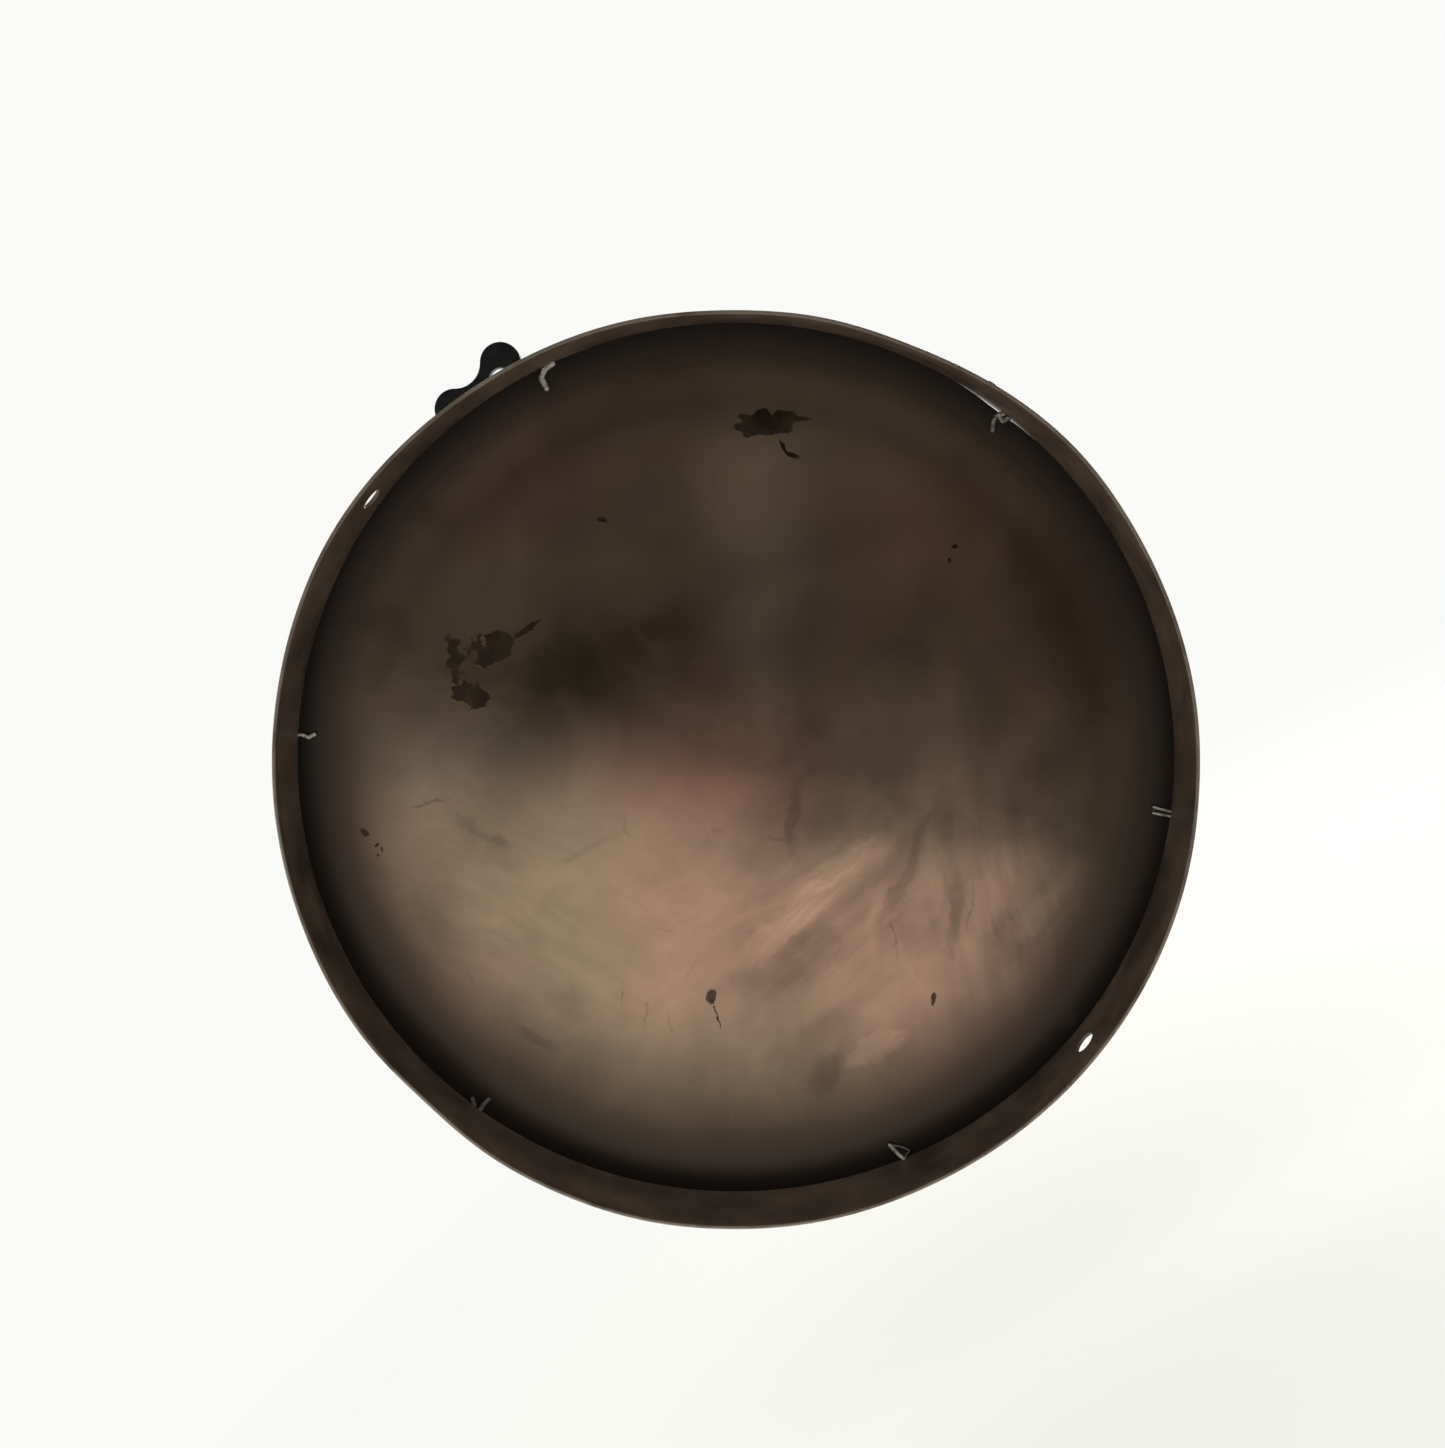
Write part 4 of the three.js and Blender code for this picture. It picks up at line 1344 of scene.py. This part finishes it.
class TAMTAM_OT_stud(bpy.types.Operator):
    """The threaded stud and the weld round its foot"""

    bl_idname = "tamtam.stud"
    bl_label = "Stud"

    def execute(self, context):
        gong, fastening = context.scene.tamtam_gong, context.scene.tamtam_fastening
        zinc = zinc_plating(fastening)
        foot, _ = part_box("hanger_stud")
        radius, tip, pitch = fastening.stud_radius, fastening.stud_tip, fastening.thread_pitch
        thread_from = 4.4 * MM
        step = pitch / 8
        rows = int((tip - 0.8 * MM - thread_from) / step)
        outline = [(0, foot.y), (radius - 0.2 * MM, foot.y), (radius, foot.y + 0.2 * MM), (radius, thread_from)]
        outline += [(radius, thread_from + step * i) for i in range(1, rows + 1)]
        outline += [(radius - 0.4 * MM, tip - 0.4 * MM), (radius - 0.8 * MM, tip), (0, tip)]
        stud = turned("stud", outline, 0, 64)

        def threaded(place):
            out = math.hypot(place.x, place.z)
            if place.y < thread_from + step / 2 or out < 0.9 * radius:
                return place
            phase = (place.y / pitch + math.atan2(place.z, place.x) / (2 * math.pi)) % 1
            depth = 0.61 * pitch * min(1, abs(2 * phase - 1) * 1.25)
            run_in = min(1, (place.y - thread_from) / (1.5 * pitch))
            scale = (out - depth * run_in * 0.6) / out
            return Vector((place.x * scale, place.y, place.z * scale))

        reshaped(stud, threaded)
        finished(stud, "hanger_stud", "gong", "zinc_steel", zinc, smooth=40)

        low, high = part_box("stud_weld_collar")
        inner, outer = CLOSE_BORE, (high.x - low.x) / 2
        profile = [
            (inner, low.y), (outer, low.y), (outer - 0.15 * MM, low.y + 0.5 * MM), (
                outer - 0.6 * MM, high.y - 0.15 * MM
            ),
            (outer - 0.9 * MM, high.y), (inner, high.y), (inner, low.y),
        ]
        collar = turned("collar", profile, 0, 96)

        def rippled(place):
            out = Vector((place.x, 0, place.z))
            if out.length < 4.5 * MM:
                return place
            swell = 0.12 * MM * (math.sin(22 * math.atan2(place.z, place.x)) - 1)
            return place + out.normalized() * swell

        reshaped(collar, rippled)
        steel = weld_bead("Stud weld metal", gong, 0.6)
        finished(collar, "stud_weld_collar", "gong", "weld_metal", steel, smooth=50)
        return {"FINISHED"}


class TAMTAM_OT_washers(bpy.types.Operator):
    """The bush, the spacer, the two flat washers and the spring washer"""

    bl_idname = "tamtam.washers"
    bl_label = "Bush and washers"

    def execute(self, context):
        fastening = context.scene.tamtam_fastening
        zinc = zinc_plating(fastening)
        # Sintered bronze is porous, and dark oil sits in its pores.
        bronze = machined_metal("Sintered bronze", fastening.bronze_colour, linear("#6E5230"), 3, 0.35, 0.4)
        for node, body, slot, rounding, steel in (
            ("pivot_bush", "hanger", "bush_bronze", 0.25, bronze),
            ("hanger_spacer", "gong", "zinc_steel", 0.2, zinc),
            ("inner_washer", "gong", "zinc_steel", 0.25, zinc),
            ("outer_washer", "gong", "zinc_steel", 0.25, zinc),
        ):
            low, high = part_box(node)
            piece = ring(node, WASHER_BORE, (high.x - low.x) / 2, low.y, high.y, 0, rounding * MM)
            finished(piece, node, body, slot, steel)

        low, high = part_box("spring_washer")
        corners = [(WASHER_BORE, low.y), (SPRING_OUTER, low.y), (SPRING_OUTER, high.y), (WASHER_BORE, high.y)]
        split = math.radians(12)
        spring = turned("spring", softened(corners, 0.2 * MM), 0, 72, 2 * math.pi - split)
        # The split faces the same way as the plain one: centred on +X.
        spring.data.transform(Matrix.Rotation(-split / 2, 4, "Y"))
        finished(spring, "spring_washer", "gong", "zinc_steel", zinc)
        return {"FINISHED"}


class TAMTAM_OT_nut(bpy.types.Operator):
    """The hexagon nut with its chamfered corners and chamfered plain bore"""

    bl_idname = "tamtam.nut"
    bl_label = "Nut"

    def execute(self, context):
        fastening = context.scene.tamtam_fastening
        low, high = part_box("hanger_nut")
        middle, height = (low.y + high.y) / 2, high.y - low.y
        across_flats = 13 * MM
        corner = across_flats / math.sqrt(3)
        deselect_all()
        bpy.ops.mesh.primitive_cylinder_add(
            vertices=6, radius=corner, depth=height, location=(0, middle, 0), rotation=(math.pi / 2, 0, 0)
        )
        nut = named("nut")
        # Whichever way the primitive's corners fall, they are turned to where the plain nut has its own.
        first = max(nut.data.vertices, key=lambda v: v.co.x)
        nut.data.transform(Matrix.Rotation(math.atan2(first.co.z, first.co.x), 4, "Y"))
        flat, chamfer = 6.3 * MM, 0.75 * MM
        barrel = turned(
            "barrel",
            [
                (0, low.y), (flat, low.y), (corner + 0.2 * MM, low.y + chamfer), (
                    corner + 0.2 * MM, high.y - chamfer
                ),
                (flat, high.y), (0, high.y),
            ],
            0, 96,
        )
        cut(nut, barrel, "INTERSECT")
        hole = CLOSE_BORE
        bore = turned(
            "bore",
            [
                (0, low.y - MM), (hole + 1.6 * MM, low.y - MM), (hole + 0.6 * MM, low.y), (
                    hole, low.y + 0.6 * MM
                ),
                (hole, high.y - 0.6 * MM), (hole + 0.6 * MM, high.y), (hole + 1.6 * MM, high.y + MM), (
                    0, high.y + MM
                ),
            ],
            0, 64,
        )
        cut(nut, bore)
        applied(nut, "BEVEL", width=0.12 * MM, segments=2, limit_method="ANGLE", angle_limit=math.radians(25))
        finished(nut, "hanger_nut", "gong", "zinc_steel", zinc_plating(fastening))
        return {"FINISHED"}


# Points to the bright screen: the room is bright on this side of the plane square to it, dim on the other.
SCREEN_EDGE = (-0.6593, 0.1601, -0.7347)


class TAMTAM_OT_studio(bpy.types.Operator):
    """The pale floor, the soft lights and the camera"""

    bl_idname = "tamtam.studio"
    bl_label = "Studio"

    def execute(self, context):
        scene, studio = context.scene, context.scene.tamtam_studio
        scene.view_settings.view_transform = "Standard"

        deselect_all()
        bpy.ops.mesh.primitive_circle_add(
            vertices=96, radius=4, fill_type="NGON", location=(0, 0, studio.floor_height)
        )
        floor = named("studio_floor")
        material, tree = finish_named("Pale studio paper")
        place = add(tree, "ShaderNodeTexCoord").outputs["Object"]
        flat = add(tree, "ShaderNodeMapping", {"Vector": place, "Location": (0, 0, -studio.floor_height)})
        away = add(
            tree, "ShaderNodeVectorMath", {0: flat.outputs["Vector"]}, operation="LENGTH"
        ).outputs["Value"]
        fade = add(
            tree,
            "ShaderNodeMapRange",
            {"Value": away, "From Min": 0.3, "From Max": 1.15},
            interpolation_type="SMOOTHSTEP",
        ).outputs["Result"]
        paper = add(
            tree, "ShaderNodeBsdfPrincipled", {"Base Color": linear("#E4E4E0"), "Roughness": 0.9}
        ).outputs["BSDF"]
        clear = add(tree, "ShaderNodeBsdfTransparent").outputs["BSDF"]
        mixed = add(tree, "ShaderNodeMixShader", {0: fade, 1: paper, 2: clear}).outputs["Shader"]
        add(tree, "ShaderNodeOutputMaterial", {"Surface": mixed})
        floor.data.materials.append(material)
        floor.visible_glossy = False

        # The room: pale where it is seen, and for the metal to mirror, a dim room over a bright low screen.
        world = bpy.data.worlds.new("Studio room")
        scene.world = world
        world.use_nodes = True
        tree = world.node_tree
        tree.nodes.clear()
        look = add(tree, "ShaderNodeTexCoord").outputs["Generated"]
        low_screen = add(
            tree, "ShaderNodeVectorMath", {0: look, 1: SCREEN_EDGE}, operation="DOT_PRODUCT"
        ).outputs["Value"]
        screen = add(
            tree,
            "ShaderNodeMapRange",
            {"Value": low_screen, "From Min": -0.012, "From Max": 0.022, "To Min": 0.064, "To Max": 0.93},
            interpolation_type="SMOOTHSTEP",
        ).outputs["Result"]
        rays = add(tree, "ShaderNodeLightPath").outputs
        seen = add(
            tree, "ShaderNodeMath", {0: rays["Is Camera Ray"], 1: rays["Is Diffuse Ray"]}, operation="MAXIMUM"
        ).outputs["Value"]
        room = add(
            tree, "ShaderNodeBackground", {"Color": (1, 1, 1, 1), "Strength": screen}
        ).outputs["Background"]
        pale = add(
            tree, "ShaderNodeBackground", {"Color": tuple(studio.pale_colour), "Strength": 1.0}
        ).outputs["Background"]
        both = add(tree, "ShaderNodeMixShader", {0: seen, 1: room, 2: pale}).outputs["Shader"]
        add(tree, "ShaderNodeOutputWorld", {"Surface": both})

        for name, place, aim, size, watts, spread in (
            ("overhead_softbox", (0.2, 0.1, 1.8), (0, 0, -0.25), 2.2, 5, 180),
            ("front_softbox", (1.6, 2.2, 0.6), (0, 0, -0.24), 1.6, 12, 60),
        ):
            deselect_all()
            bpy.ops.object.light_add(type="AREA", location=place)
            lamp = context.object
            lamp.name = lamp.data.name = name
            lamp.data.size, lamp.data.energy = size, watts
            lamp.rotation_euler = (Vector(aim) - Vector(place)).to_track_quat("-Z", "Y").to_euler()
            lamp.data.spread = math.radians(spread)
            lamp.visible_camera = False

        deselect_all()
        bpy.ops.object.camera_add(location=studio.camera_place)
        camera = context.object
        camera.name = camera.data.name = "studio_camera"
        camera.data.lens, camera.data.sensor_width = studio.lens, 36
        camera.data.clip_start, camera.data.clip_end = 0.01, 100
        gaze = (Vector(studio.camera_aim) - Vector(studio.camera_place)).to_track_quat("-Z", "Y").to_matrix()
        camera.rotation_euler = (gaze @ Matrix.Rotation(-studio.camera_roll, 3, "Z")).to_euler()
        scene.camera = camera
        return {"FINISHED"}


OPERATORS = (
    TAMTAM_OT_studio,
    TAMTAM_OT_striking_plate,
    TAMTAM_OT_rim_hoop,
    TAMTAM_OT_seam_weld,
    TAMTAM_OT_tack_welds,
    TAMTAM_OT_hanger_plate,
    TAMTAM_OT_stud,
    TAMTAM_OT_washers,
    TAMTAM_OT_nut,
)


class TAMTAM_PT_sidebar(bpy.types.Panel):
    bl_label = "Tam-tam gong"
    bl_idname = "TAMTAM_PT_sidebar"
    bl_space_type = "VIEW_3D"
    bl_region_type = "UI"
    bl_category = "Gong"

    def draw(self, context):
        for operator in OPERATORS:
            self.layout.operator(operator.bl_idname)
        for group in SETTINGS:
            settings = getattr(context.scene, group)
            box = self.layout.box()
            for key in settings.__annotations__:
                box.prop(settings, key)


SETTINGS = {
    "tamtam_gong": GongSettings,
    "tamtam_hanger": HangerSettings,
    "tamtam_fastening": FasteningSettings,
    "tamtam_studio": StudioSettings,
}


def register():
    for kind in (*SETTINGS.values(), *OPERATORS, TAMTAM_PT_sidebar):
        bpy.utils.register_class(kind)
    for key, group in SETTINGS.items():
        setattr(bpy.types.Scene, key, PointerProperty(type=group))


def unregister():
    for key in SETTINGS:
        delattr(bpy.types.Scene, key)
    for kind in reversed((*SETTINGS.values(), *OPERATORS, TAMTAM_PT_sidebar)):
        bpy.utils.unregister_class(kind)


def main():
    register()
    bpy.ops.tamtam.studio()
    bpy.ops.tamtam.striking_plate()
    bpy.ops.tamtam.rim_hoop()
    bpy.ops.tamtam.seam_weld()
    bpy.ops.tamtam.tack_welds()
    bpy.ops.tamtam.hanger_plate()
    bpy.ops.tamtam.stud()
    bpy.ops.tamtam.washers()
    bpy.ops.tamtam.nut()


if __name__ == "__main__":
    main()
